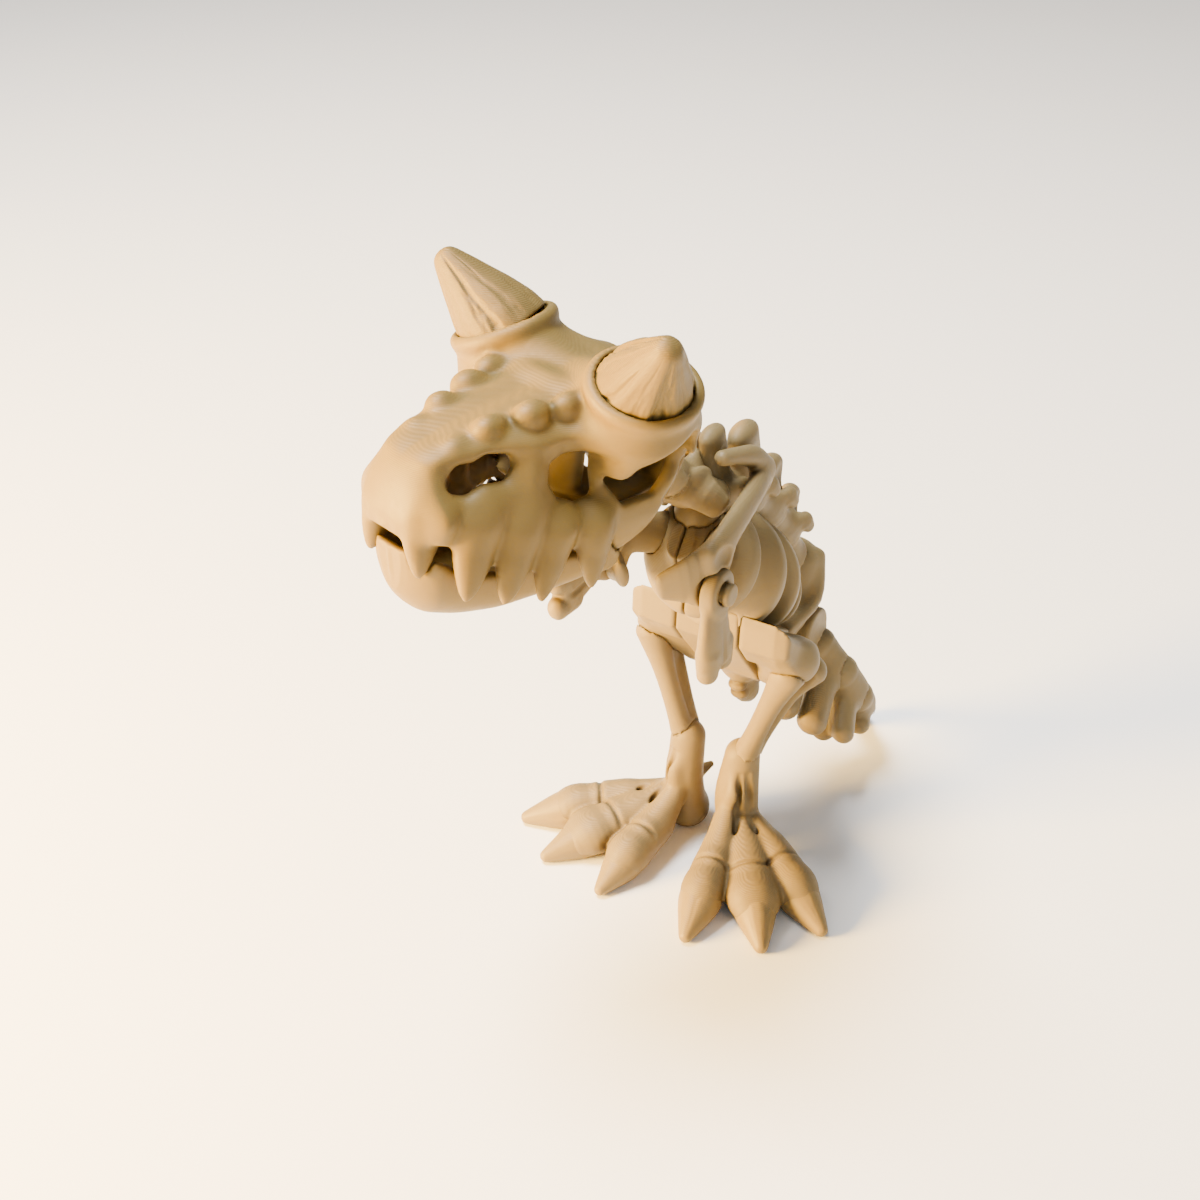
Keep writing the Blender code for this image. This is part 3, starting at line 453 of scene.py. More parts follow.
def round_section(x, z, width, high, low, power=2.4):
    """How far a point is from a rounded section, measured from the section's middle."""
    mid = (high + low) / 2
    half = (high - low) / 2
    v = z - mid
    r = np.sqrt(x * x + v * v) + 1e-4
    q = ((np.abs(x) / width) ** power + (np.abs(v) / half) ** power) ** (1 / power) + 1e-5
    return r * (1 - 1 / q)


def near_line(y, z, a, b):
    """The distance from a line in the side view."""
    ey, ez = b[0] - a[0], b[1] - a[1]
    t = np.clip(((y - a[0]) * ey + (z - a[1]) * ez) / (ey * ey + ez * ez), 0, 1)
    return np.sqrt((y - a[0] - t * ey) ** 2 + (z - a[1] - t * ez) ** 2)


skull_width, skull_roof, skull_floor = (profile(SKULL, c) for c in (1, 2, 3))


def skull_distance(x, y, z):
    nose = np.sqrt(np.clip(1 - (np.clip(NOSE_END + NOSE_LENGTH - y, 0, None) / NOSE_LENGTH) ** 2, 1e-4, 1))
    high, low = skull_roof(y), skull_floor(y)
    mid, half = (high + low) / 2, (high - low) / 2 * nose
    d = round_section(x, z, skull_width(y) * nose, mid + half, mid - half)
    side = np.clip(np.abs(x) / 6, 0, 1)
    # egg-shaped swellings over the tooth roots, each leaning back as its tooth does
    for (rx, ry, rz), (tx, ty, tz), r in TEETH:
        way = np.array([ry - ty, rz - tz]) / math.hypot(ry - ty, rz - tz)
        u, v = y - (ry + way[0] * 0.8), z - (rz + way[1] * 0.8)
        along, across = u * way[0] + v * way[1], u * way[1] - v * way[0]
        d = d - 1.9 * np.exp(-(along / (r * 1.0)) ** 2 - (across / (r * 0.66)) ** 2) * side
    # dishes round the windows, with a brow above them and a cheek bone below
    for window, deep in ((SNOUT_WINDOW, 0.9), (EYE_WINDOW, 1.3), (CHEEK_WINDOW, 0.9)):
        away = np.clip(outline_distance(np.array(window), y, z), 0, None)
        d = d + deep * np.exp(-(away / 2.2) ** 2) * side
    for a, b, high_, wide in (((-33, -3.6), (-9, -4.8), 0.8, 1.7), ((-14, -18.6), (4.0, -15.6), 0.7, 2.2),
                              ((-18.6, -8.0), (-20.0, -14.0), 0.5, 2.4)):
        d = d - high_ * np.exp(-(near_line(y, z, a, b) / wide) ** 2) * side
    # nostril swelling at the front, and a trough down the middle of the roof
    d = d - 0.8 * np.exp(-((y + 37) / 3.2) ** 2 - ((z + 13) / 2.6) ** 2 - ((np.abs(x) - 3.6) / 2.6) ** 2)
    d = d + 0.7 * np.exp(-(x / 3.4) ** 2) * np.clip((z + 8) / 4, 0, 1) * np.clip((y + 34) / 6, 0, 1)
    return np.maximum(d, NOSE_END - y)


def inset(outline, by):
    """The outline drawn in towards its middle, so that growing it again rounds its corners."""
    o = np.array(outline)
    middle = o.mean(0)
    arm = np.linalg.norm(o - middle, axis=1)[:, None]
    return middle + (o - middle) * np.maximum(1 - by / arm, 0.2)


# %% [markdown]
# Each horn stands in a raised collar: a short drum that runs out into the skull with a
# wide soft fillet, a round rim on top, and a seat cut to the shape of the horn, a little
# wider than it. The collar lies flatter than the horn that leans out of it. The upper
# teeth are fat cones that grow out of the swellings and hang over the outside of the jaw.

# %% Skull
WIDE = 29.0
head_pitch = 0.376
shell = Clay((-WIDE, -41, -31), (WIDE, 15, 7), head_pitch)
outer = Clay((-WIDE, -41, -31), (WIDE, 15, 7), head_pitch)
outer.field(skull_distance)
inner = outer.d + np.float32(SHELL)
shell.d = outer.d.copy()
horn_way = unit(HORN_TIP - HORN_AT)


def run_and_out(x, y, z, at, way):
    """How far a point is along an axis, and how far out from it."""
    u, v, w = (c - np.float32(o) for c, o in zip((x, y, z), at))
    run = u * way[0] + v * way[1] + w * way[2]
    return run, np.sqrt(np.maximum(u * u + v * v + w * w - run * run, 0))


def collar_drum(x, y, z):
    run, out = run_and_out(x, y, z, COLLAR_AT, COLLAR_WAY)
    wall = out - (COLLAR_R + 0.2 + 0.30 * np.clip(-run, 0, 5))
    return -soft_min(-wall, -np.maximum(run, -11 - run), 1.0).astype(np.float32)


def collar_rim(x, y, z):
    run, out = run_and_out(x, y, z, COLLAR_AT, COLLAR_WAY)
    return (np.sqrt((out - COLLAR_R) ** 2 + run ** 2) - RIM).astype(np.float32)


def horn_seat(x, y, z):
    run, out = run_and_out(x, y, z, HORN_AT, horn_way)
    size = HORN_R * np.interp(run, [-1, 0, 2, 6, 10.6], [1.0, 0.99, 0.97, 0.84, 0.6])
    return np.maximum(out - size - HAIR, -0.2 - run).astype(np.float32)


near_horn = (COLLAR_AT - 16, COLLAR_AT + 14)
shell.field(collar_drum, *near_horn, k=4.2)
shell.limb([(12.0, -1.0, -1.8), (6.0, 0.0, -2.8), (0.0, 1.0, -3.6)], [5.4, 3.8, 2.8], k=3.0)
shell.field(collar_rim, *near_horn, k=1.6)
shell.cut_off(np.float32(BACK_END) - shell.axes()[1], 0.8)
shell.cut_off(inner, 0.8)
shell.prism(EDGE, -40, 40, k=1.1, carve=True)
for window in (SNOUT_WINDOW, EYE_WINDOW, CHEEK_WINDOW):
    shell.prism(inset(window, 1.5), 3.0, 40, k=1.4, grow=1.3, carve=True)
shell.limb([(19.6, 9.0, -6.0), (19.4, 7.2, -10.4), (18.8, 5.2, -15.6), (17.6, 3.0, -19.0)], [0.9, 0.8, 0.7, 0.3],
           k=0.7, carve=True)
for x, y, z, r in BUMPS:
    shell.lump((x, y, z - 0.7), (r, r * 1.25, r * 0.9), k=1.3)
for root, tip, r in TEETH:
    root, tip = np.array(root), np.array(tip)
    way = tip - root
    shell.lump(root - way * 0.12 + np.array([0.5, 0, 0]), (2.3, r * 0.85, r * 1.15), k=1.4, along=way, side=(1, 0, 0))
    shell.limb([root, root + way * 0.4, root + way * 0.78, tip - way * 0.05],
               [(r * 0.95, r * 0.66), (r * 0.80, r * 0.56), (r * 0.42, r * 0.34), (0.6, 0.5)], k=1.3, side=(0, 1, 0))
shell.field(horn_seat, *near_horn, k=0.35, carve=True)
# braincase that closes the middle of the skull and takes the neck
shell.limb([(0, SOCKET[0] - 8.6, -3.0), (0, SOCKET[0] - 8.8, -12.0), (0, SOCKET[0] - 8.0, -21.0)],
           [(9.6, 3.2), (9.0, 2.9), (6.6, 2.4)], k=1.6)
shell.limb([(0, SOCKET[0], -6.6), (0, SOCKET[0], -8.6), (0, SOCKET[0], -10.4)], [5.6, 5.0, 5.0], k=1.4)
# the palate and the inner wall, which are seen through the windows
shell.limb([(0, -8.0, -19.6), (0, 1.0, -19.6)], [(11.0, 1.0), (11.0, 1.0)], k=1.0)
for s in (1, -1):
    shell.limb([(9.6 * s, -6.0, -19.6), (9.6 * s, 8.4, -19.0)], [(3.8, 1.0), (3.8, 1.0)], k=1.0)
shell.limb([(12.4, 8.8, -3.0), (12.4, 8.4, -12.0), (11.4, 6.6, -20.0)], [(4.4, 1.1), (4.6, 1.1), (3.6, 1.0)], k=1.0)
shell.mirror()


# %% [markdown]
# A horn is a cone whose section follows a rule, so Geometry Nodes make it: a flat grid is
# rolled up, one way round the horn and the other way along it. The radius comes from a
# curve, and the long grooves that fan down from the tip come from a wave round the horn.
# The same rule, with other numbers, makes the claws.

# %% A small helper for node trees
def link(tree, value, socket):
    if isinstance(value, bpy.types.NodeSocket):
        tree.links.new(value, socket)
    else:
        socket.default_value = value


class Val:
    """A socket that takes part in plain arithmetic: each operation adds its own node."""

    def __init__(self, tree, socket):
        self.tree = tree
        self.socket = socket

    def do(self, operation, *others):
        node = self.tree.nodes.new("ShaderNodeMath")
        node.operation = operation
        for value, socket in zip((self, *others), node.inputs):
            link(self.tree, value.socket if isinstance(value, Val) else value, socket)
        return Val(self.tree, node.outputs[0])

    def __add__(self, o): return self.do("ADD", o)
    def __sub__(self, o): return self.do("SUBTRACT", o)
    def __mul__(self, o): return self.do("MULTIPLY", o)
    def __pow__(self, o): return self.do("POWER", o)

    def __rsub__(self, o):
        node = self.tree.nodes.new("ShaderNodeMath")
        node.operation = "SUBTRACT"
        node.inputs[0].default_value = o
        self.tree.links.new(self.socket, node.inputs[1])
        return Val(self.tree, node.outputs[0])

    def sin(self): return self.do("SINE")
    def cos(self): return self.do("COSINE")
    def clip(self): return self.do("MINIMUM", 1.0).do("MAXIMUM", 0.0)


class Tree:
    """A node tree with one method for every node."""

    def __init__(self, tree):
        self.tree = tree

    def node(self, kind, settings=None, out=0, **values):
        n = self.tree.nodes.new(kind)
        for key, value in (settings or {}).items():
            if key == "stops":
                ramp = n.color_ramp.elements
                while len(ramp) > 1:
                    ramp.remove(ramp[-1])
                for i, (at, colour) in enumerate(value):
                    stop = ramp[0] if i == 0 else ramp.new(at)
                    stop.position = at
                    stop.color = colour
            elif key == "curve":
                points = n.mapping.curves[0].points
                for i, (at, height) in enumerate(value):
                    if i < 2:
                        points[i].location = (at, height)
                    else:
                        points.new(at, height)
                n.mapping.update()
            else:
                setattr(n, key, value)
        for key, value in values.items():
            names = [s for s in n.inputs if s.enabled and s.name.replace(" ", "_") == key]
            socket = names[0] if names else n.inputs[int(key[1:])]
            link(self.tree, value.socket if isinstance(value, Val) else value, socket)
        return n if out is None else Val(self.tree, [o for o in n.outputs if o.enabled][out])


def group_inputs(name, sizes):
    """A new Geometry Nodes tree with a geometry input and named sizes."""
    tree = bpy.data.node_groups.new(name, "GeometryNodeTree")
    tree.interface.new_socket("Geometry", in_out="INPUT", socket_type="NodeSocketGeometry")
    tree.interface.new_socket("Geometry", in_out="OUTPUT", socket_type="NodeSocketGeometry")
    for label, (kind, value) in sizes.items():
        socket = tree.interface.new_socket(label, in_out="INPUT", socket_type="NodeSocket" + kind)
        if value is not None:
            socket.default_value = value
    start = tree.nodes.new("NodeGroupInput")
    return Tree(tree), {s.name: Val(tree, s) for s in start.outputs if s.name}


def grown(tree, name, points, settings, values=()):
    """Run a tree on a mesh of points, and return the result as a plain mesh object."""
    mesh = bpy.data.meshes.new(name)
    mesh.from_pydata([tuple(p) for p in points], [], [])
    for label, kind, data in values:
        layer = mesh.attributes.new(label, kind, "POINT")
        layer.data.foreach_set("vector" if kind == "FLOAT_VECTOR" else "value", np.array(data, np.float32).ravel())
    maker = bpy.data.objects.new(name + "_maker", mesh)
    bpy.context.scene.collection.objects.link(maker)
    modifier = maker.modifiers.new("grow", "NODES")
    modifier.node_group = tree.tree
    sockets = {s.name: s.identifier for s in tree.tree.interface.items_tree if s.in_out == "INPUT"}
    for label, value in settings.items():
        modifier[sockets[label]] = value
    graph = bpy.context.evaluated_depsgraph_get()
    result = bpy.data.meshes.new_from_object(maker.evaluated_get(graph))
    result.name = name
    maker.modifiers.clear()
    bpy.data.objects.remove(maker, do_unlink=True)
    piece = bpy.data.objects.new(name, result)
    bpy.context.scene.collection.objects.link(piece)
    return piece


# %% [markdown]
# The cone tree rolls a grid into one cone for each point of a mesh. Every point says which
# way its cone looks and how big it is, and the named inputs give the shape they share.

# %% The tree of grooved cones
CONE_PROFILE = [(0.0, 0.0), (1.0, 0.0), (0.012, 0.98), (0.1, 0.98), (0.34, 0.83), (0.6, 0.6), (0.82, 0.395),
                (0.95, 0.25), (0.985, 0.15)]


def cone_tree(name, profile):
    t, given = group_inputs(name, {
        "Around": ("Int", 96), "Along": ("Int", 80), "Radius": ("Float", 1.0), "Length": ("Float", 1.0),
        "Bend": ("Float", 0.0), "Grooves": ("Float", 9.0), "Depth": ("Float", 0.0), "Seed": ("Float", 0.0),
        "Finish": ("Material", None)})
    grid = t.node("GeometryNodeMeshGrid", None, None, Size_X=1.0, Size_Y=1.0,
                  Vertices_X=given["Around"], Vertices_Y=given["Along"])
    parts = t.node("ShaderNodeSeparateXYZ", None, None, Vector=t.node("GeometryNodeInputPosition"))
    turn = (Val(t.tree, parts.outputs[0]) + 0.5) * (2 * math.pi)
    run = Val(t.tree, parts.outputs[1]) + 0.5
    width = t.node("ShaderNodeFloatCurve", {"curve": profile}, Value=run)
    # three waves round the cone make grooves of uneven width that fade out at the tip
    noise = t.node("ShaderNodeTexNoise", {"noise_dimensions": "3D"}, 0, Scale=3.0, Detail=3.0,
                   Vector=t.node("ShaderNodeCombineXYZ", None, 0, X=turn.cos(), Y=turn.sin(),
                                 Z=run * 0.55 + given["Seed"]))
    wave = (turn * given["Grooves"] + given["Seed"] * 7.0 + noise * 5.0).sin() * 0.5 + 0.5
    fine = (turn * given["Grooves"] * 2.0 + given["Seed"] * 3.0 + noise * 9.0 + 1.0).sin() * 0.5 + 0.5
    broad = (turn * 2.0 + given["Seed"] + 0.6).sin() * 0.5 + 0.5
    cut_in = (wave ** 9.0) * (broad * 0.9 + 0.2) + (fine ** 3.0) * 0.30
    fade = (run * 7.0).clip() * ((1.0 - run) * 4.5).clip()
    radius = width * given["Radius"] * (1.0 - cut_in * given["Depth"] * fade)
    spot = t.node("ShaderNodeCombineXYZ", None, 0, X=turn.cos() * radius,
                  Y=turn.sin() * radius + (run * math.pi).sin() * given["Bend"], Z=run * given["Length"])
    rolled = t.node("GeometryNodeSetPosition", None, 0, Geometry=Val(t.tree, grid.outputs[0]), Position=spot)
    closed = t.node("GeometryNodeMergeByDistance", None, 0, Geometry=rolled, Distance=0.00002)
    round_ = t.node("GeometryNodeSetShadeSmooth", None, 0, Geometry=closed)
    way = t.node("GeometryNodeInputNamedAttribute", {"data_type": "FLOAT_VECTOR"}, 0, Name="way")
    size = t.node("GeometryNodeInputNamedAttribute", {"data_type": "FLOAT"}, 0, Name="size")
    facing = t.node("FunctionNodeAlignRotationToVector", {"axis": "Z"}, 0, Vector=way)
    placed = t.node("GeometryNodeInstanceOnPoints", None, 0, Points=given["Geometry"], Instance=round_,
                    Rotation=facing, Scale=size)
    real = t.node("GeometryNodeRealizeInstances", None, 0, Geometry=placed)
    done = t.node("GeometryNodeSetMaterial", None, 0, Geometry=real, Material=given["Finish"])
    end = t.tree.nodes.new("NodeGroupOutput")
    t.tree.links.new(done.socket, end.inputs[0])
    return t


horn_cones = cone_tree("grooved_cones", CONE_PROFILE)
print("cone tree nodes", len(horn_cones.tree.nodes))


# %% [markdown]
# ## The finishes
# All bones are the same printed plastic: matt, a little uneven in colour, darker and more
# yellow in the hollows as painted shade, paler along the ridges as a painted highlight, and
# crossed by the fine level lines of the printing. One function makes it, with the base
# colour and the line spacing as its values.

# %% Printed plastic
def printed(name, base, deep, highlight_colour, lines=0.00022, line_depth=0.16, roughness=0.52, seed=0.0):
    material = bpy.data.materials.new(name)
    material.use_nodes = True
    t = Tree(material.node_tree)
    t.tree.nodes.clear()
    shader = t.node("ShaderNodeBsdfPrincipled", None, None)
    shader.inputs["Subsurface Weight"].default_value = 0.05
    shader.inputs["Subsurface Radius"].default_value = (1.0, 0.55, 0.25)
    shader.inputs["Subsurface Scale"].default_value = 0.0016
    shader.inputs["Specular IOR Level"].default_value = 0.34
    shader.inputs["IOR"].default_value = 1.46
    place = t.node("ShaderNodeTexCoord", None, None)
    spot = Val(t.tree, place.outputs["Object"])
    moved = t.node("ShaderNodeVectorMath", {"operation": "ADD"}, 0, i0=spot, i1=(seed, seed * 0.7, seed * 0.3))
    occlusion_shade, ridge_highlight = (Val(t.tree, t.node("ShaderNodeAttribute", {"attribute_name": a}, None).outputs["Fac"])
                     for a in ("occlusion_shade", "ridge_highlight"))
    cloud = t.node("ShaderNodeTexNoise", None, 0, Vector=moved, Scale=70.0, Detail=4.0, Roughness=0.55)
    speck = t.node("ShaderNodeTexNoise", None, 0, Vector=moved, Scale=900.0, Detail=3.0, Roughness=0.6)
    grain = t.node("ShaderNodeTexNoise", None, 0, Vector=moved, Scale=2600.0, Detail=2.0, Roughness=0.5)
    # colour: base, then painted shade in the hollows, a painted highlight on the ridges, and a slow cloud
    # painted shade: the colour turns darker and more yellow where a corner is enclosed
    shade = ((occlusion_shade - 0.16) * 1.25).clip()
    # painted highlight: the colour turns paler along sharp ridges
    highlight_lift = ((ridge_highlight - 0.30) * 0.9).clip()
    colour = t.node("ShaderNodeMix", {"data_type": "RGBA"}, 0, Factor=shade, A=base, B=deep)
    colour = t.node("ShaderNodeMix", {"data_type": "RGBA"}, 0, Factor=highlight_lift * 0.5, A=colour, B=highlight_colour)
    warm = tuple(c * f for c, f in zip(base[:3], (0.90, 0.86, 0.78))) + (1.0,)
    colour = t.node("ShaderNodeMix", {"data_type": "RGBA"}, 0, Factor=((cloud - 0.42) * 1.9).clip() * 0.30,
                    A=colour, B=warm)
    colour = t.node("ShaderNodeMix", {"data_type": "RGBA"}, 0, Factor=((speck - 0.60) * 4.0).clip() * 0.16,
                    A=colour, B=deep)
    # level lines of the printing, a wave in height that wobbles a little, with a stray heavier line
    parts = t.node("ShaderNodeSeparateXYZ", None, None, Vector=moved)
    height = Val(t.tree, parts.outputs[2]) + cloud * 0.00012
    wave = (height * (2 * math.pi / lines)).sin()
    slow = t.node("ShaderNodeTexNoise", {"noise_dimensions": "1D"}, 0, W=height * 1.0, Scale=1700.0, Detail=2.0)
    relief = wave * 0.5 + slow * 1.1 + grain * 0.55 + speck * 0.5
    bump = t.node("ShaderNodeBump", None, 0, Strength=line_depth, Distance=0.00022, Height=relief)
    rough = (cloud - 0.5) * 0.16 + (speck - 0.5) * 0.10 + shade * 0.08 + roughness
    for value, label in ((colour, "Base Color"), (rough, "Roughness"), (bump, "Normal")):
        t.tree.links.new(value.socket, shader.inputs[label])
    out = t.tree.nodes.new("ShaderNodeOutputMaterial")
    t.tree.links.new(shader.outputs[0], out.inputs[0])
    return material


# the plastic's colour, the colour of the painted shade in the hollows (also used for the dark specks), and the colour
# of the painted highlight on the ridges
BONE = (0.180, 0.130, 0.054, 1.0)
SHADE_AND_SPECK = (0.050, 0.028, 0.004, 1.0)
PAINTED_HIGHLIGHT = (0.250, 0.190, 0.090, 1.0)
bone_finish = printed("printed_bone", BONE, SHADE_AND_SPECK, PAINTED_HIGHLIGHT)
# the skull's own colour, then its painted shade colour (also used for the specks), then its painted highlight colour
skull_finish = printed("printed_skull", (0.162, 0.106, 0.025, 1.0), (0.050, 0.028, 0.003, 1.0),
                       (0.215, 0.150, 0.046, 1.0), line_depth=0.10, seed=0.3)
horn_finish = printed("printed_horn", (0.155, 0.102, 0.026, 1.0), SHADE_AND_SPECK, PAINTED_HIGHLIGHT, line_depth=0.22, seed=0.6)
claw_finish = printed("printed_claw", (0.220, 0.156, 0.060, 1.0), SHADE_AND_SPECK, PAINTED_HIGHLIGHT, line_depth=0.12, roughness=0.46,
                      seed=0.9)

# %% [markdown]
# Now the head is put together: the shell is skinned, and the jaw is a smooth bowl below it.
# The jaw is carved along its rim, so that a dark mouth shows between the teeth.

# %% Jaw
JAW = [(-37.4, 7.4, -17.6, -28.4), (-34.0, 8.0, -19.0, -30.8), (-29.0, 8.7, -23.2, -33.0), (-22.0, 9.7, -25.4, -34.8),
       (-14.0, 11.0, -25.4, -35.4), (-7.0, 12.2, -26.4, -35.1), (-2.0, 12.6, -27.0, -33.5), (1.0, 11.4, -27.8, -32.0)]
jaw_width, jaw_rim, jaw_floor = (profile(JAW, c) for c in (1, 2, 3))
CHIN = -37.6
CHIN_LENGTH = 4.6
JAW_END = 0.8
JAW_WALL = 2.0
WELL_DEPTH = 3.4


def jaw_distance(x, y, z):
    chin = np.sqrt(np.clip(1 - (np.clip(CHIN + CHIN_LENGTH - y, 0, None) / CHIN_LENGTH) ** 2, 1e-4, 1))
    rim, low = jaw_rim(y), jaw_floor(y)
    deep = (rim - low) * (0.55 + 0.45 * chin)
    d = round_section(x, z, jaw_width(y) * chin, rim + deep, rim - deep, 2.3)
    return np.maximum(d, CHIN - y)


jaw = Clay((-WIDE, -41, -37), (WIDE, 6, -16), head_pitch)
jaw.field(jaw_distance)
jx, jy, jz = jaw.axes()
jaw.cut_off(jaw_rim(jy) - jz, 1.4)
jaw.cut_off(JAW_END - jy, 1.5)
jaw.cut_off(np.maximum(jaw_distance(jx, jy, jz) + JAW_WALL, jaw_rim(jy) - WELL_DEPTH - jz), 1.0)
for s in (1, -1):
    jaw.limb([(12.0 * s, -5.5, -29.0), (13.6 * s, -4.8, -24.0), (14.2 * s, -4.0, -20.5)],
             [(1.7, 3.4), (1.6, 3.0), (1.3, 2.2)], k=1.2)
jaw.clear(shell, GAP, GAP)

bone("skull_shell", shell, "head", turn=HEAD, replaces=["skull"])
bone("jaw_bowl", jaw, "head", turn=HEAD, replaces=["jaw"])

# %% [markdown]
# The horns grow from the tree of cones, one point each, at the place and the angle of the
# solid horns.

# %% Horns
def head_point(p):
    return np.array(HEAD @ Vector([float(c) for c in p]))


for side, s, seed in (("left", 1.0, 1.3), ("right", -1.0, 4.1)):
    flip = np.array([s, 1.0, 1.0])
    at, tip = (to_world(head_point(p * flip)[None])[0] for p in (HORN_AT, HORN_TIP))
    length = float(np.linalg.norm(tip - at))
    horn = grown(horn_cones, "horn_%s_grooved" % side, [at],
                 {"Around": 200, "Along": 120, "Radius": HORN_R * MM, "Length": length, "Grooves": 5.0, "Depth": 0.10,
                  "Seed": seed, "Finish": horn_finish},
                 [("way", "FLOAT_VECTOR", [(tip - at) / length]), ("size", "FLOAT", [1.0])])
    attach(horn, "head")
    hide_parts("horn_" + side)
    print(horn.name, len(horn.data.polygons), "faces, length mm", round(length / MM, 1))

# %% [markdown]
# ## Neck and backbone
# Each neck bone is a short barrel with a wing on both sides and a knob on its back.

# %% Neck
NECK = [((-7.9, -36.4, 106.6), (-5.4, -28.6, 99.6), 5.0), ((-5.4, -28.8, 99.8), (-2.8, -20.4, 92.4), 5.0),
        ((-2.9, -20.8, 92.8), (0.0, -11.0, 84.8), 6.2)]
pitch = 0.3

neck = []
for start, end, width in NECK:
    start, end = np.array(start), np.array(end)
    along = unit(end - start)
    mid = (start + end) / 2
    across = unit(np.array([1.0, 0, 0]) - along * along[0])
    back = np.cross(along, across)
    back = back if back[2] > 0 else -back
    c = Clay(np.minimum(start, end) - 11, np.maximum(start, end) + 11, pitch)
    c.limb([start, mid, end], [(4.4, 4.2), (3.5, 3.5), (4.6, 4.3)], k=1)
    for s in (1, -1):
        lobe = mid + across * s * width
        c.limb([mid, mid + across * s * width * 0.6 - back * 0.6, lobe + along * 3.0 - back * 1.8],
               [(2.2, 3.4), (2.0, 3.3), (1.4, 2.5)], k=1.6, side=along)
        c.lump(mid + across * s * 3.8 + back * 2.0 - along * 1.5, (1.1, 1.7, 2.8), k=0.9,
               along=along + back * 0.4, side=across)
        c.lump(mid + across * s * 4.2 + back * 0.6 + along * 3.4, (1.6, 1.2, 1.6), k=0.8, along=along, carve=True)
    c.limb([mid, mid + back * 5.6 + along * 1.4], [(2.4, 3.2), (1.4, 2.3)], k=1.5, side=across)
    neck.append(c)

# %% [markdown]
# The backbone bends over the chest and carries four broad fins, and its bones show as a
# row of swellings with a small knob on each side.

# %% Backbone
SPINE = [(-13.0, 82.5), (-6.0, 83.0), (4.0, 78.5), (14.0, 71.0), (22.0, 62.5), (28.0, 52.5)]
SPINE_R = 4.4
FINS = [(-9.2, 97.2, 7.4, 4.4), (3.2, 92.4, 9.0, 5.4), (16.6, 81.0, 7.6, 4.4), (27.0, 70.0, 7.0, 4.0)]
FIN_ROOTS = [(-7.0, 83.0), (5.0, 78.0), (14.0, 71.5), (22.5, 62.0)]
spine = Clay((-12, -20, 44), (12, 36, 101), pitch)
line, _ = soft_path([(0, y, z) for y, z in SPINE], [(1, 1)] * len(SPINE), 3)
spine.limb(line, [(SPINE_R * (0.86 + 0.14 * math.cos(i * 2.1)),) * 2 for i in range(len(line))], k=1)
for (y, z, length, width), (ry, rz) in zip(FINS, FIN_ROOTS):
    root, peak = np.array([0, ry, rz]), np.array([0, y, z])
    way = unit(peak - root)
    mid = root + (peak - root) * 0.6
    spine.limb([root, mid, peak - way * 1.6], [(width * 0.62, length * 0.56), (width * 0.5, length * 0.52),
                                               (width * 0.46, length * 0.46)], k=2.2)
    for s in (1, -1):
        spine.limb([(s * 2.0, ry, rz + 1), (s * 4.4, ry + 1.6, rz + 2.4), (s * 5.0, ry + 3.0, rz + 0.6)],
                   [(1.6, 2.2), (1.3, 1.9), (1.0, 1.4)], k=1.4)
        spine.lump(mid + np.array([s * width * 0.56, 0.4, -0.6]), (0.9, length * 0.26, 3.2), k=0.8, along=way,
                   carve=True)

# %% [markdown]
# ## Chest
# Each side of the chest is half of a barrel. Five broad ribs cross it from the back down
# to the belly, and the rule for the wall raises it under a rib and sinks it between two.

# %% Chest
CHEST_AT = (-17.0, 77.5)
CHEST_WAY = (0.779, -0.628)
CHEST = [(-3.0, 5.0, 6.0, 0.0), (1.0, 8.0, 9.0, 0.0), (8.0, 10.6, 11.0, 0.0), (17.0, 12.2, 11.8, 0.0),
         (27.0, 12.0, 11.2, 0.0), (36.0, 9.8, 8.2, -0.8), (43.0, 7.0, 5.4, -1.0), (46.0, 4.4, 3.4, -1.0)]
RIBS = [(-1.0, 1.0, 1.5), (5.0, 8.5, 1.9), (13.5, 21.0, 2.1), (22.5, 32.5, 2.1), (32.0, 40.5, 1.9)]
chest_width, chest_depth, chest_shift = (profile(CHEST, c, 1.0) for c in (1, 2, 3))


def chest_distance(x, y, z, sign):
    run = (y - CHEST_AT[0]) * CHEST_WAY[0] + (z - CHEST_AT[1]) * CHEST_WAY[1]
    deep = (y - CHEST_AT[0]) * -CHEST_WAY[1] + (z - CHEST_AT[1]) * CHEST_WAY[0]
    deep = deep - chest_shift(run)
    out = x * sign - GAP / 2
    w, h = chest_width(run), chest_depth(run)
    r = np.sqrt(out * out + deep * deep) + 1e-3
    q = np.sqrt((out / w) ** 2 + (deep / h) ** 2) + 1e-4
    d = r * (1 - 1 / q)
    angle = np.degrees(np.arctan2(deep / h, np.maximum(out / w, 1e-3)))
    t = np.clip((70 - angle) / 138, 0, 1)
    height = np.full(d.shape, -3.0, np.float32)
    for s0, s1, rib in RIBS:
        at = s0 + (s1 - s0) * t
        off = (run - at) * 0.94
        lean = off - 0.35 * rib
        bump = np.exp(-(np.where(lean > 0, lean / (rib * 0.90), lean / (rib * 1.45))) ** 4)
        height = np.maximum(height, -3.0 + (3.3 + 0.4 * np.sin(t * 3.1)) * bump)
    d = d - height
    ends = np.maximum(-3.2 - run, run - 44.5)
    d = np.maximum(d, ends)
    return -soft_min(-d, out + np.zeros_like(d), 0.5)


chest = {}
for side, s in (("left", 1), ("right", -1)):
    c = Clay((min(0, 17 * s) - 0.5, -30, 38), (max(0, 17 * s) + 0.5, 36, 98), pitch)
    chest[side] = c.field(lambda x, y, z: chest_distance(x, y, z, s))

# %% [markdown]
# ## Shoulders and arms
# A long blade runs from a hook over the ribs down to a leaf-shaped front plate. A peg on it
# carries the ring of the arm, so that the arm swings. The forearm is a slab with two lobes.

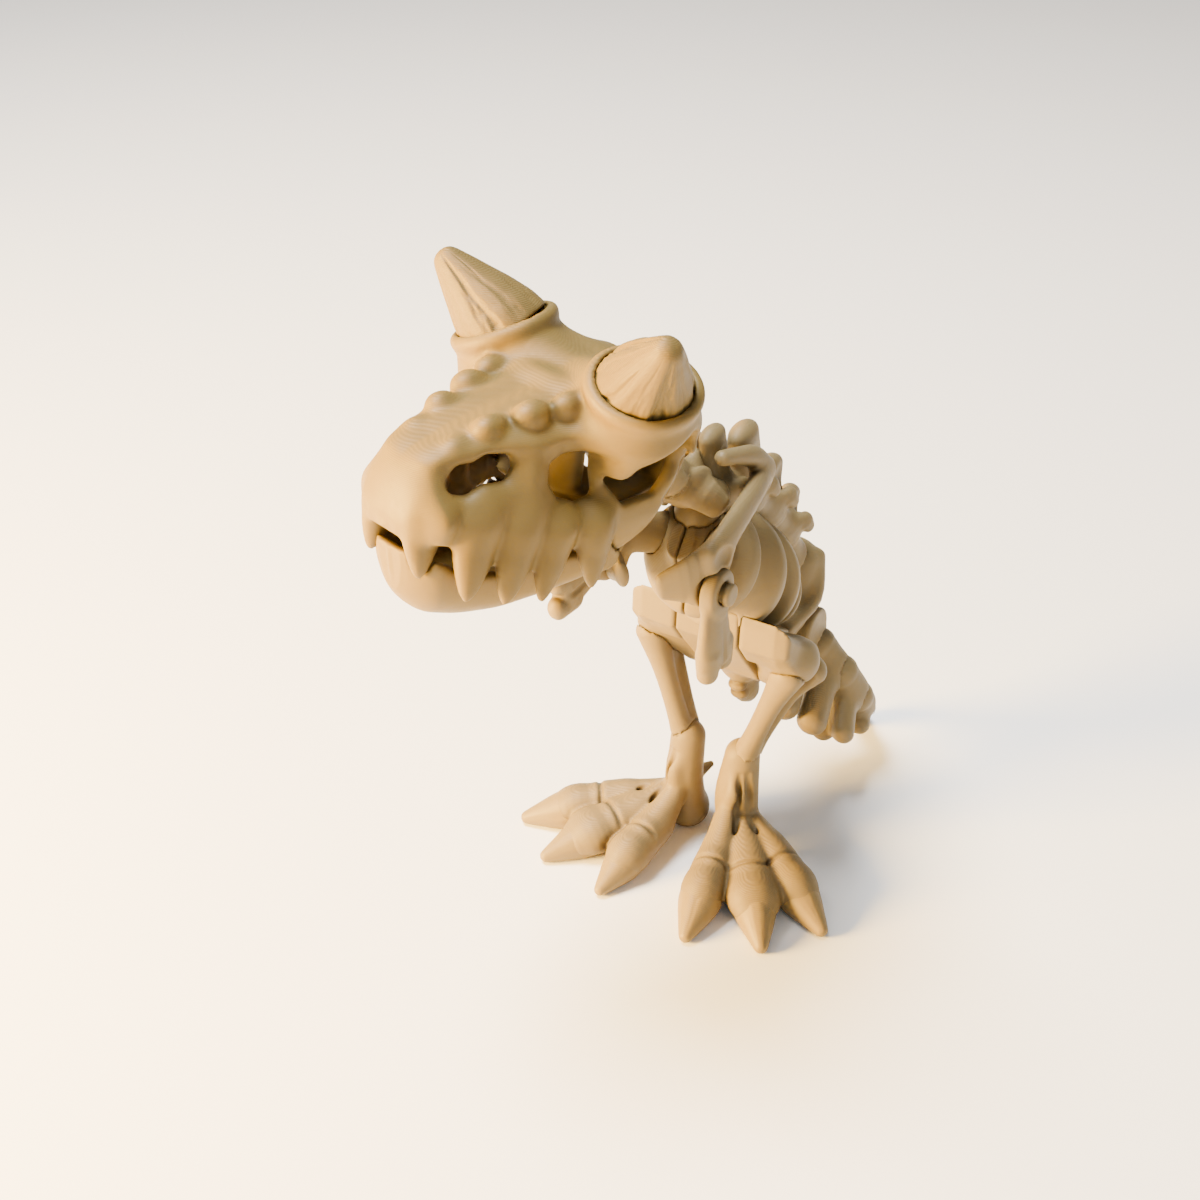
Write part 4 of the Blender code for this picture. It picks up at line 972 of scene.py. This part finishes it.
# %% Shoulders and arms
PEG = (-26.6, 76.6)
PEG_R = 1.7
PEG_HEAD = 1.6
BOSS_R = 3.3
RING_R = 4.2
RING = (9.6, 12.6)
SWING = {"left": 4.0, "right": -88.0}
SWING_LIMITS = {"left": (-75, 12), "right": (-11, 67)}
shoulder = {}
arms = {}


def sided(s, *points):
    """Points of the left side, or of the right side when s is -1."""
    return [(x * s, y, z) for x, y, z in points]


for side, s in (("left", 1), ("right", -1)):
    c = Clay((min(0, 16 * s), -37, 68), (max(0, 16 * s), 8, 98), pitch)
    c.limb(sided(s, (4.9, 1.6, 86.4), (7.4, -4.0, 86.4), (9.4, -13.0, 86.2), (10.6, -22.0, 85.2), (10.6, -27.4, 82.6)),
           [(1.9, 2.5), (2.0, 3.0), (1.9, 3.1), (1.9, 3.5), (1.8, 3.8)], k=1)
    c.limb(sided(s, (4.4, -13.2, 94.4), (5.2, -9.6, 93.4), (6.0, -4.6, 91.4), (6.4, -0.6, 87.4)),
           [(1.5, 1.4), (1.6, 1.6), (1.8, 2.1), (2.0, 2.4)], k=1.4)
    c.limb(sided(s, (10.2, -24.6, 80.4), (8.4, -29.2, 79.6), (4.0, -33.0, 78.6)),
           [(1.7, 6.2), (1.6, 5.8), (1.3, 3.0)], k=1.6)
    c.limb(sided(s, (9.0, -24.4, 81.0), (5.4, -15.6, 78.0)), [(1.8, 3.4), (2.4, 4.0)], k=1.6)
    # boss, slot for the ring, peg and the peg's head
    for x0, x1, r, k, carve in ((8.0, RING[0] - GAP, BOSS_R, 1.2, False),
                                (RING[0] - GAP, RING[1] + GAP, RING_R + GAP, 0.4, True),
                                (8.2, RING[1] + PEG_HEAD, PEG_R, 0.3, False),
                                (RING[1] + GAP, RING[1] + PEG_HEAD, PEG_R + 0.4, 0.3, False)):
        c.drum(PEG, r, *sorted((x0 * s, x1 * s)), k=k, carve=carve)
    c.limb(sided(s, (12.4, -21.0, 83.6), (11.2, -12.0, 84.6), (9.0, -4.0, 85.2)), [1.0, 1.1, 0.8], k=1.2, carve=True)
    c.lump((12.4 * s, -27.0, 83.4), (0.9, 2.6, 2.0), k=0.9, carve=True)
    shoulder[side] = c
    # the arm is made hanging down, and then turned about its peg
    mid = (RING[0] + RING[1]) / 2 * s
    lo, hi = sorted((RING[0] * s, RING[1] * s))

    def arm_clay(degrees):
        turn = math.radians(degrees)

        def swung(points):
            return [(x, PEG[0] + y * math.cos(turn) - z * math.sin(turn),
                     PEG[1] + y * math.sin(turn) + z * math.cos(turn)) for x, y, z in points]
        reach = np.array(swung([(mid, -5, 6), (mid, 5, 6), (mid, -5, -21), (mid, 5, -21)]))
        a = Clay(reach.min(0) - 3, reach.max(0) + 3, pitch)
        a.drum(PEG, RING_R, lo, hi, k=0.6, soft=1.0)
        a.limb(swung([(mid, -1.0, -2.2), (mid, -1.1, -9.0), (mid, -0.9, -13.4)]),
               [(1.5, 3.5), (2.1, 4.6), (2.3, 4.9)], k=1.2)
        for y in (-3.3, 1.8):
            a.limb(swung([(mid, y * 0.9, -11.6), (mid, y, -15.6)]), [(2.2, 2.7), (1.9, 2.2)], k=0.4)
        for way in (1, -1):
            a.limb(swung([(mid + 2.3 * way, -0.9, -5.0), (mid + 2.6 * way, -0.8, -18.6)]), [0.4, 0.9],
                   k=0.5, carve=True)
        a.drum(PEG, PEG_R + GAP, lo - 3, hi + 3, k=0.4, carve=True)
        return a
    arms[side] = arm_clay(SWING[side])
    # the shoulder leaves room for the arm at both ends of its swing
    for limit in SWING_LIMITS[side]:
        c.clear(arm_clay(SWING[side] + limit), 0.25, 0.1)

# %% [markdown]
# ## Hips and legs
# The pelvis is a block across the hips with a straight top edge that runs on over both
# thighs. Each shin has a ridge before and behind, with a long hollow between them.

# %% Pelvis and thighs
HIP = np.array([6.6, 6.5, 42.5])
HIP_R = 5.2
KNEE = np.array([14.9, 0.6, 47.4])
PLATE = (-8.0, 60.2)
PLATE_HALF = 17.2
ANKLES = {"left": np.array([5.9, -1.4, 21.5]), "right": np.array([-6.6, -1.2, 21.5])}
HEELS = {"left": np.array([4.7, 0.6, 3.4]), "right": np.array([-7.0, 0.4, 3.4])}
# half the width of the instep
STOUT = {"left": 4.6, "right": 3.9}
SOLE_LIFT = 0.02
TAIL_AXIS = np.array([1.6, 28.0, 37.0])
TAIL_PIVOT_R = 5.0
pelvis = Clay((-13, -12, 24), (13, 40, 64), pitch)
pelvis.limb([(0, 30.0, 51.0), (0, 28.6, 44.0), (0, 20.0, 38.6), (0, 9.0, 39.6)],
            [(6.0, 5.0), (6.6, 6.2), (6.4, 6.6), (5.4, 6.0)], k=1)
pelvis.drum((HIP[1], HIP[2]), HIP_R, -HIP[0], HIP[0], k=1.2)
pelvis.prism([PLATE, (PLATE[0] + 5.0, PLATE[1] - 4.6), (16.0, 43.6), (10.0, 36.0), (2.0, 40.0), (-5.0, 48.5),
              (PLATE[0] - 0.4, 53.0)], -HIP[0], HIP[0], k=1.2)
pelvis.limb([(0, 14.0, 37.0), (0, 11.4, 31.6), (0, 13.0, 28.0)], [(2.6, 6.4), (2.2, 4.6), (1.8, 2.6)], k=1.5)
for y, z in ((6.6, 36.0), (6.8, 33.2), (8.0, 30.6)):
    pelvis.lump((0, y, z), (2.0, 1.5, 1.3), k=0.6)
for s in (1, -1):
    pelvis.limb([(4.6 * s, 32.4, 52.0), (6.4 * s, 27.6, 45.0), (5.4 * s, 18.0, 42.4)], [1.5, 1.7, 1.4], k=1.4)
    pelvis.lump((6.6 * s, 22.6, 37.4), (1.6, 4.2, 2.6), k=1.0, carve=True)
pelvis.drum((TAIL_AXIS[1], TAIL_AXIS[2]), TAIL_PIVOT_R + GAP, -14, 14, k=0.5, carve=True)



def up(z):
    return np.array([0, 0, z])


legs = {}
TOES = {"left": [(10.9, -33.8), (25.2, -28.6), (33.5, -18.0)],
        "right": [(10.4, -31.2), (25.8, -28.2), (36.4, -19.6)]}
TOE_FAT = [0.9, 1.14, 0.95]
claw_points = {}
for side, s in (("left", 1), ("right", -1)):
    flip = np.array([s, 1.0, 1.0])
    hip, knee, ankle, heel = HIP * flip, KNEE * flip, ANKLES[side], HEELS[side]
    near = (HIP[0] + HAIR) * s
    c = Clay((min(near, 21 * s), -13, 36), (max(near, 21 * s), 16, 64), pitch)
    edge = [PLATE, (PLATE[0] + 4.4, PLATE[1] - 4.2), (5.0, 50.0), (1.0, 44.5), (-5.0, 48.5), (PLATE[0] - 0.4, 53.0)]

    def hip_block(x, y, z):
        """The block under the straight edge, rounded towards its outer end."""
        out = x * s
        end = out - (PLATE_HALF - 0.2)
        flat = outline_distance(np.array(edge), y, z) + 0.3 * np.clip(out - (PLATE_HALF - 3.0), 0, None)
        return -soft_min(-flat, -np.maximum(end, HIP[0] + HAIR - out), 1.1).astype(np.float32)
    c.field(hip_block)
    lo, hi = sorted((near, (HIP[0] + 2.6) * s))
    c.drum((HIP[1], HIP[2]), HIP_R - 0.3, lo, hi, k=1.4)
    c.limb([hip + np.array([2.4 * s, 0, 0]), hip + (knee - hip) * 0.6, knee + up(0.4)],
           [(4.4, 4.6), (4.6, 4.6), (4.4, 4.8)], k=2.4, side=(0, 0, 1))
    c.limb([(9.0 * s, -8.9, 57.0), (13.4 * s, -8.9, 56.4)], [0.35, 0.35], k=0.5, carve=True)
    c.lump((12.4 * s, -8.6, 50.8), (2.6, 1.2, 1.8), k=1.0, carve=True)
    thigh = c.cut_off((c.axes()[0] - near) * s, 0.1)

    # the shin is a pair of ridges with a long hollow between them, on a thinner core
    c = Clay(np.minimum(knee, ankle) - 9, np.maximum(knee, ankle) + 9, pitch)
    down = ankle - knee
    for off, out, fat in ((-2.4, 0.0, 2.5), (3.4, 1.2, 2.4)):
        c.limb([knee + np.array([out * s * 1.4, off * 1.3, -2 * out - 1]),
                knee + down * 0.35 + np.array([out * s, off, 0]),
                knee + down * 0.7 + np.array([out * s * 0.3, off * 0.62, 0]), ankle + np.array([0, off * 0.42, 0])],
               [(fat * 1.35, fat * 1.15), (fat * 0.92, fat * 0.85), (fat * 0.86, fat * 0.84), (fat * 1.05, fat)], k=0.8)
    c.limb([knee + up(-1.5), knee + down * 0.35, knee + down * 0.7, ankle],
           [(3.6, 3.6), (1.5, 2.2), (1.6, 2.0), (2.9, 2.9)], k=1.2)
    for way in (1, -1):
        c.limb([knee + down * 0.14 + np.array([3.5 * way, 0.6, 0]), knee + down * 0.42 + np.array([2.6 * way, 0.5, 0]),
                knee + down * 0.74 + np.array([2.8 * way, 0.2, 0])],
               [(1.1, 1.5), (1.4, 1.3), (0.7, 0.6)], k=1.1, carve=True)
    shin = c

    tips = np.array([(x * s, y, 0) for x, y in TOES[side]])
    c = Clay(np.minimum(tips.min(0), heel - 8) - np.array([3, 3, 0]), np.maximum(tips.max(0), ankle + 8) + 3, pitch)
    c.limb([ankle + up(1.5), (ankle + heel) / 2 + np.array([0, -1.4, 0]), heel],
           [(3.6, 3.5), (STOUT[side], 3.8), (4.2, 4.2)], k=1)
    c.lump(heel, (4.3, 4.6, 4.3), k=1.4)
    points = []
    for tip, fat, share, height in zip(tips, TOE_FAT, (0.17, 0.11, 0.06), (11.0, 9.6, 8.4)):
        reach = tip - heel * np.array([1, 1, 0])
        way = unit(reach)
        across = np.array([way[1], -way[0], 0])

        def spot(part, z):
            return heel * np.array([1, 1, 0]) + reach * part + np.array([0, 0, z])
        # one instep bone for each toe, from the ankle over the arch to the knuckle
        c.limb([ankle + way * 1.6 + np.array([-0.5 * s, 0, -2.0]), (ankle + spot(share, height)) / 2 + way * 1.4,
                spot(share, height) + np.array([-0.4 * s, 0, 0]), spot(0.38, 5.9), spot(0.5, 5.2)],
               [(1.7, 2.0), (1.8, 2.0), (2.5, 2.6), (3.9 * fat, 3.8), (4.2 * fat, 4.0)], k=0.8, side=across)
        c.limb([spot(0.36, 5.6), spot(0.50, 5.0), spot(0.57, 4.5), spot(0.66, 4.2), spot(0.735, 3.6)],
               [(4.0 * fat, 3.9), (4.2 * fat, 3.9), (4.6 * fat, 4.2), (4.9 * fat, 4.4), (3.9 * fat, 3.4)],
               k=1.2, side=across)
        # a fine crease across the knuckle
        c.limb([spot(0.52, 7.4) + across * 4.0 * fat, spot(0.52, 9.2), spot(0.52, 7.4) - across * 4.0 * fat],
               [0.2, 0.2, 0.2], k=1.0, carve=True)
        points.append((spot(0.69, 3.2), tip + up(1.0) - way * 0.2))
    # grooves between the instep bones
    for a, b in zip(tips[:-1], tips[1:]):
        reach = (a + b) / 2 - heel * np.array([1, 1, 0])
        way = unit(reach)
        c.limb([ankle + way * 4.0 + up(-1.0), heel + reach * 0.16 + way + up(9.6),
                heel + reach * 0.34 + up(4.6)], [0.45, 0.6, 0.5], k=1.0, carve=True)
    claw_points[side] = points
    c.limb([heel + np.array([0, 1.5, 7.0]), heel + np.array([-2.4 * s, 5.2, 8.4])], [(2.0, 2.0), (0.7, 0.7)], k=1.4)
    foot = c.cut_off(c.axes()[2] - SOLE_LIFT, 0.35)
    shin.clear(thigh)
    shin.clear(foot)
    legs[side] = (thigh, shin, foot)

# %% [markdown]
# ## Tail
# The tail hangs from a barrel at the back of the pelvis. Its lengths carry two rows of
# lobes below, and the last one rests on the floor.

# %% Tail
TAIL_LOBE = np.array([0.36, -0.66, -0.68])
TAIL = [((1.6, 28.0, 37.0), (7.0, 30.6, 31.0), 4.8, 18.5), ((6.8, 30.5, 31.3), (12.0, 32.4, 25.0), 4.5, 17.0),
        ((11.8, 32.3, 25.3), (15.0, 36.0, 18.0), 4.2, 12.0), ((14.9, 35.8, 18.4), (13.6, 43.0, 10.6), 3.6, 5.0),
        ((13.7, 42.6, 10.9), (10.0, 50.8, 2.4), 3.0, 3.8)]
tail = []
for i, (start, end, r, lobe) in enumerate(TAIL):
    start, end = np.array(start), np.array(end)
    along = unit(end - start)
    mid = (start + end) / 2
    across = unit(np.array([1.0, 0, 0]) - along * along[0])
    c = Clay(np.minimum(start, end) - 16, np.maximum(start, end) + np.array([16, 8, 8]), pitch)
    c.limb([start, mid, end], [(r, r), (r * 0.8, r * 0.8), (r * 0.88, r * 0.86)], k=1)
    if i < 4:
        down = TAIL_LOBE - along * TAIL_LOBE.dot(along) * 0.6
        for lean in (down, down - across * 2 * down.dot(across)):
            c.limb([mid, mid + lean * lobe * 0.6, mid + lean * lobe], [(2.9, 2.4), (2.7, 2.2), (2.8, 2.3)],
                   k=2.6, side=along)
    if i == 0:
        c.drum((TAIL_AXIS[1], TAIL_AXIS[2]), TAIL_PIVOT_R, -4.6, 7.8, k=1.2, soft=0.9)
    tail.append(c.cut_off(c.axes()[2], 0.2))

# %% [markdown]
# ## Clearances, and the finished bones
# Bones that move against each other keep a third of a millimetre apart, and fixed
# neighbours a hair. Each block is cleared of the one that passes over it, and then skinned.

# %% Clear the neighbours and skin the bones
# room for the back of the skull when the head turns to its left
neck[1].lump((-2.0, -31.5, 100.8), (1.6, 1.2, 1.8), k=0.5, carve=True)
neck[1].clear(neck[2])
neck[0].clear(neck[1])
neck[2].clear(spine)
neck[0].cut_off(head_point((0, *SOCKET))[2] - GAP - neck[0].axes()[2], 0.5)
spine.clear(pelvis)
for side in ("left", "right"):
    spine.clear(shoulder[side])
for side in ("left", "right"):
    for other in (shoulder[side], pelvis, legs[side][0], spine):
        chest[side].clear(other)
for i in range(4):
    tail[i].clear(tail[i + 1])

for label, c in zip(("neck_top", "neck_middle", "neck_low"), neck):
    bone(label + "_bone", c, "body")
bone("backbone_bone", spine, "body")
bone("pelvis_bone", pelvis, "body")
for side in ("left", "right"):
    bone("ribcage_%s_bone" % side, chest[side], "body")
    bone("shoulder_%s_bone" % side, shoulder[side], "body")
    bone("arm_%s_bone" % side, arms[side], "arm_" + side[0])
    for label, c in zip(("thigh", "shin", "foot"), legs[side]):
        bone("%s_%s_bone" % (label, side), c, "body")
for i, c in enumerate(tail):
    bone("tail_%d_bone" % (i + 1), c, "tail")

# %% [markdown]
# The claws grow from the cone tree, one point at the end of each toe.

# %% Claws
for side in ("left", "right"):
    at, tip = (to_world(np.array(points)) for points in zip(*claw_points[side]))
    length = np.linalg.norm(tip - at, axis=1)
    claws = grown(horn_cones, "claws_" + side, at,
                  {"Around": 64, "Along": 48, "Radius": 0.40, "Length": 1.0, "Grooves": 5.0, "Depth": 0.035,
                   "Seed": 2.0 + ord(side[0]), "Finish": claw_finish},
                  [("way", "FLOAT_VECTOR", (tip - at) / length[:, None]), ("size", "FLOAT", length)])
    for v in claws.data.vertices:
        v.co.z = max(v.co.z, SOLE_LIFT * MM)
    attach(claws, "body")
    print(claws.name, [round(float(v) / MM, 1) for v in length])

# %% [markdown]
# Finishes go on last: the skull and jaw have the smoothest print, the rest show more lines.

# %% Put the finishes on
for name, piece in made.items():
    piece.data.materials.clear()
    piece.data.materials.append(skull_finish if name in ("skull_shell", "jaw_bowl") else bone_finish)

# %% [markdown]
# ## Floor and light
# The floor is a plain white sheet. A broad soft light comes from the left of the picture
# and is a warm yellow, and a large white one from above fills the rest.

# %% Floor and lights
FLOOR_HALF = 3
FLOOR_Z = -0.0002
floor_mesh = bpy.data.meshes.new("floor")
floor_mesh.from_pydata([(x * FLOOR_HALF, y * FLOOR_HALF, FLOOR_Z) for x, y in ((-1, -1), (1, -1), (1, 1), (-1, 1))],
                       [], [(0, 1, 2, 3)])
floor = bpy.data.objects.new("floor", floor_mesh)
bpy.context.scene.collection.objects.link(floor)
paper = bpy.data.materials.new("white_paper")
paper.use_nodes = True
t = Tree(paper.node_tree)
shader = paper.node_tree.nodes["Principled BSDF"]
shader.inputs["Roughness"].default_value = 0.9
shader.inputs["Specular IOR Level"].default_value = 0.1
mottle = t.node("ShaderNodeTexNoise", None, 0, Vector=t.node("ShaderNodeTexCoord", None, 3), Scale=6.0, Detail=2.0)
tone = t.node("ShaderNodeMix", {"data_type": "RGBA"}, 0, Factor=mottle, A=(0.93, 0.93, 0.93, 1),
              B=(0.90, 0.90, 0.90, 1))
t.tree.links.new(tone.socket, shader.inputs["Base Color"])
floor_mesh.materials.append(paper)

view_right = np.array([math.cos(VIEW_TURN), math.sin(VIEW_TURN), 0.0])
view_front = np.array([math.sin(VIEW_TURN), -math.cos(VIEW_TURN), 0.0])
middle = Vector((0, 0, 0.07))


def soft_light(name, right, front, up, size, power, colour):
    data = bpy.data.lights.new(name, "AREA")
    data.shape = "DISK"
    data.size = size
    data.energy = power
    data.color = colour
    lamp = bpy.data.objects.new(name, data)
    bpy.context.scene.collection.objects.link(lamp)
    lamp.location = Vector(view_right * right + view_front * front + np.array([0, 0, up]))
    lamp.rotation_euler = (middle - lamp.location).to_track_quat("-Z", "Y").to_euler()


soft_light("warm_side", -0.50, 0.16, 0.17, 0.22, 36.0, (1.0, 0.60, 0.13))
soft_light("top_soft", -0.30, -0.05, 0.90, 0.40, 26.0, (1.0, 0.985, 0.96))
soft_light("front_fill", 0.45, 0.75, 0.45, 0.8, 1.5, (1.0, 0.98, 0.95))
world = bpy.data.worlds.new("room")
bpy.context.scene.world = world
world.use_nodes = True
sky = world.node_tree.nodes["Background"]
sky.inputs["Color"].default_value = (1.0, 1.0, 1.0, 1.0)
sky.inputs["Strength"].default_value = 0.44
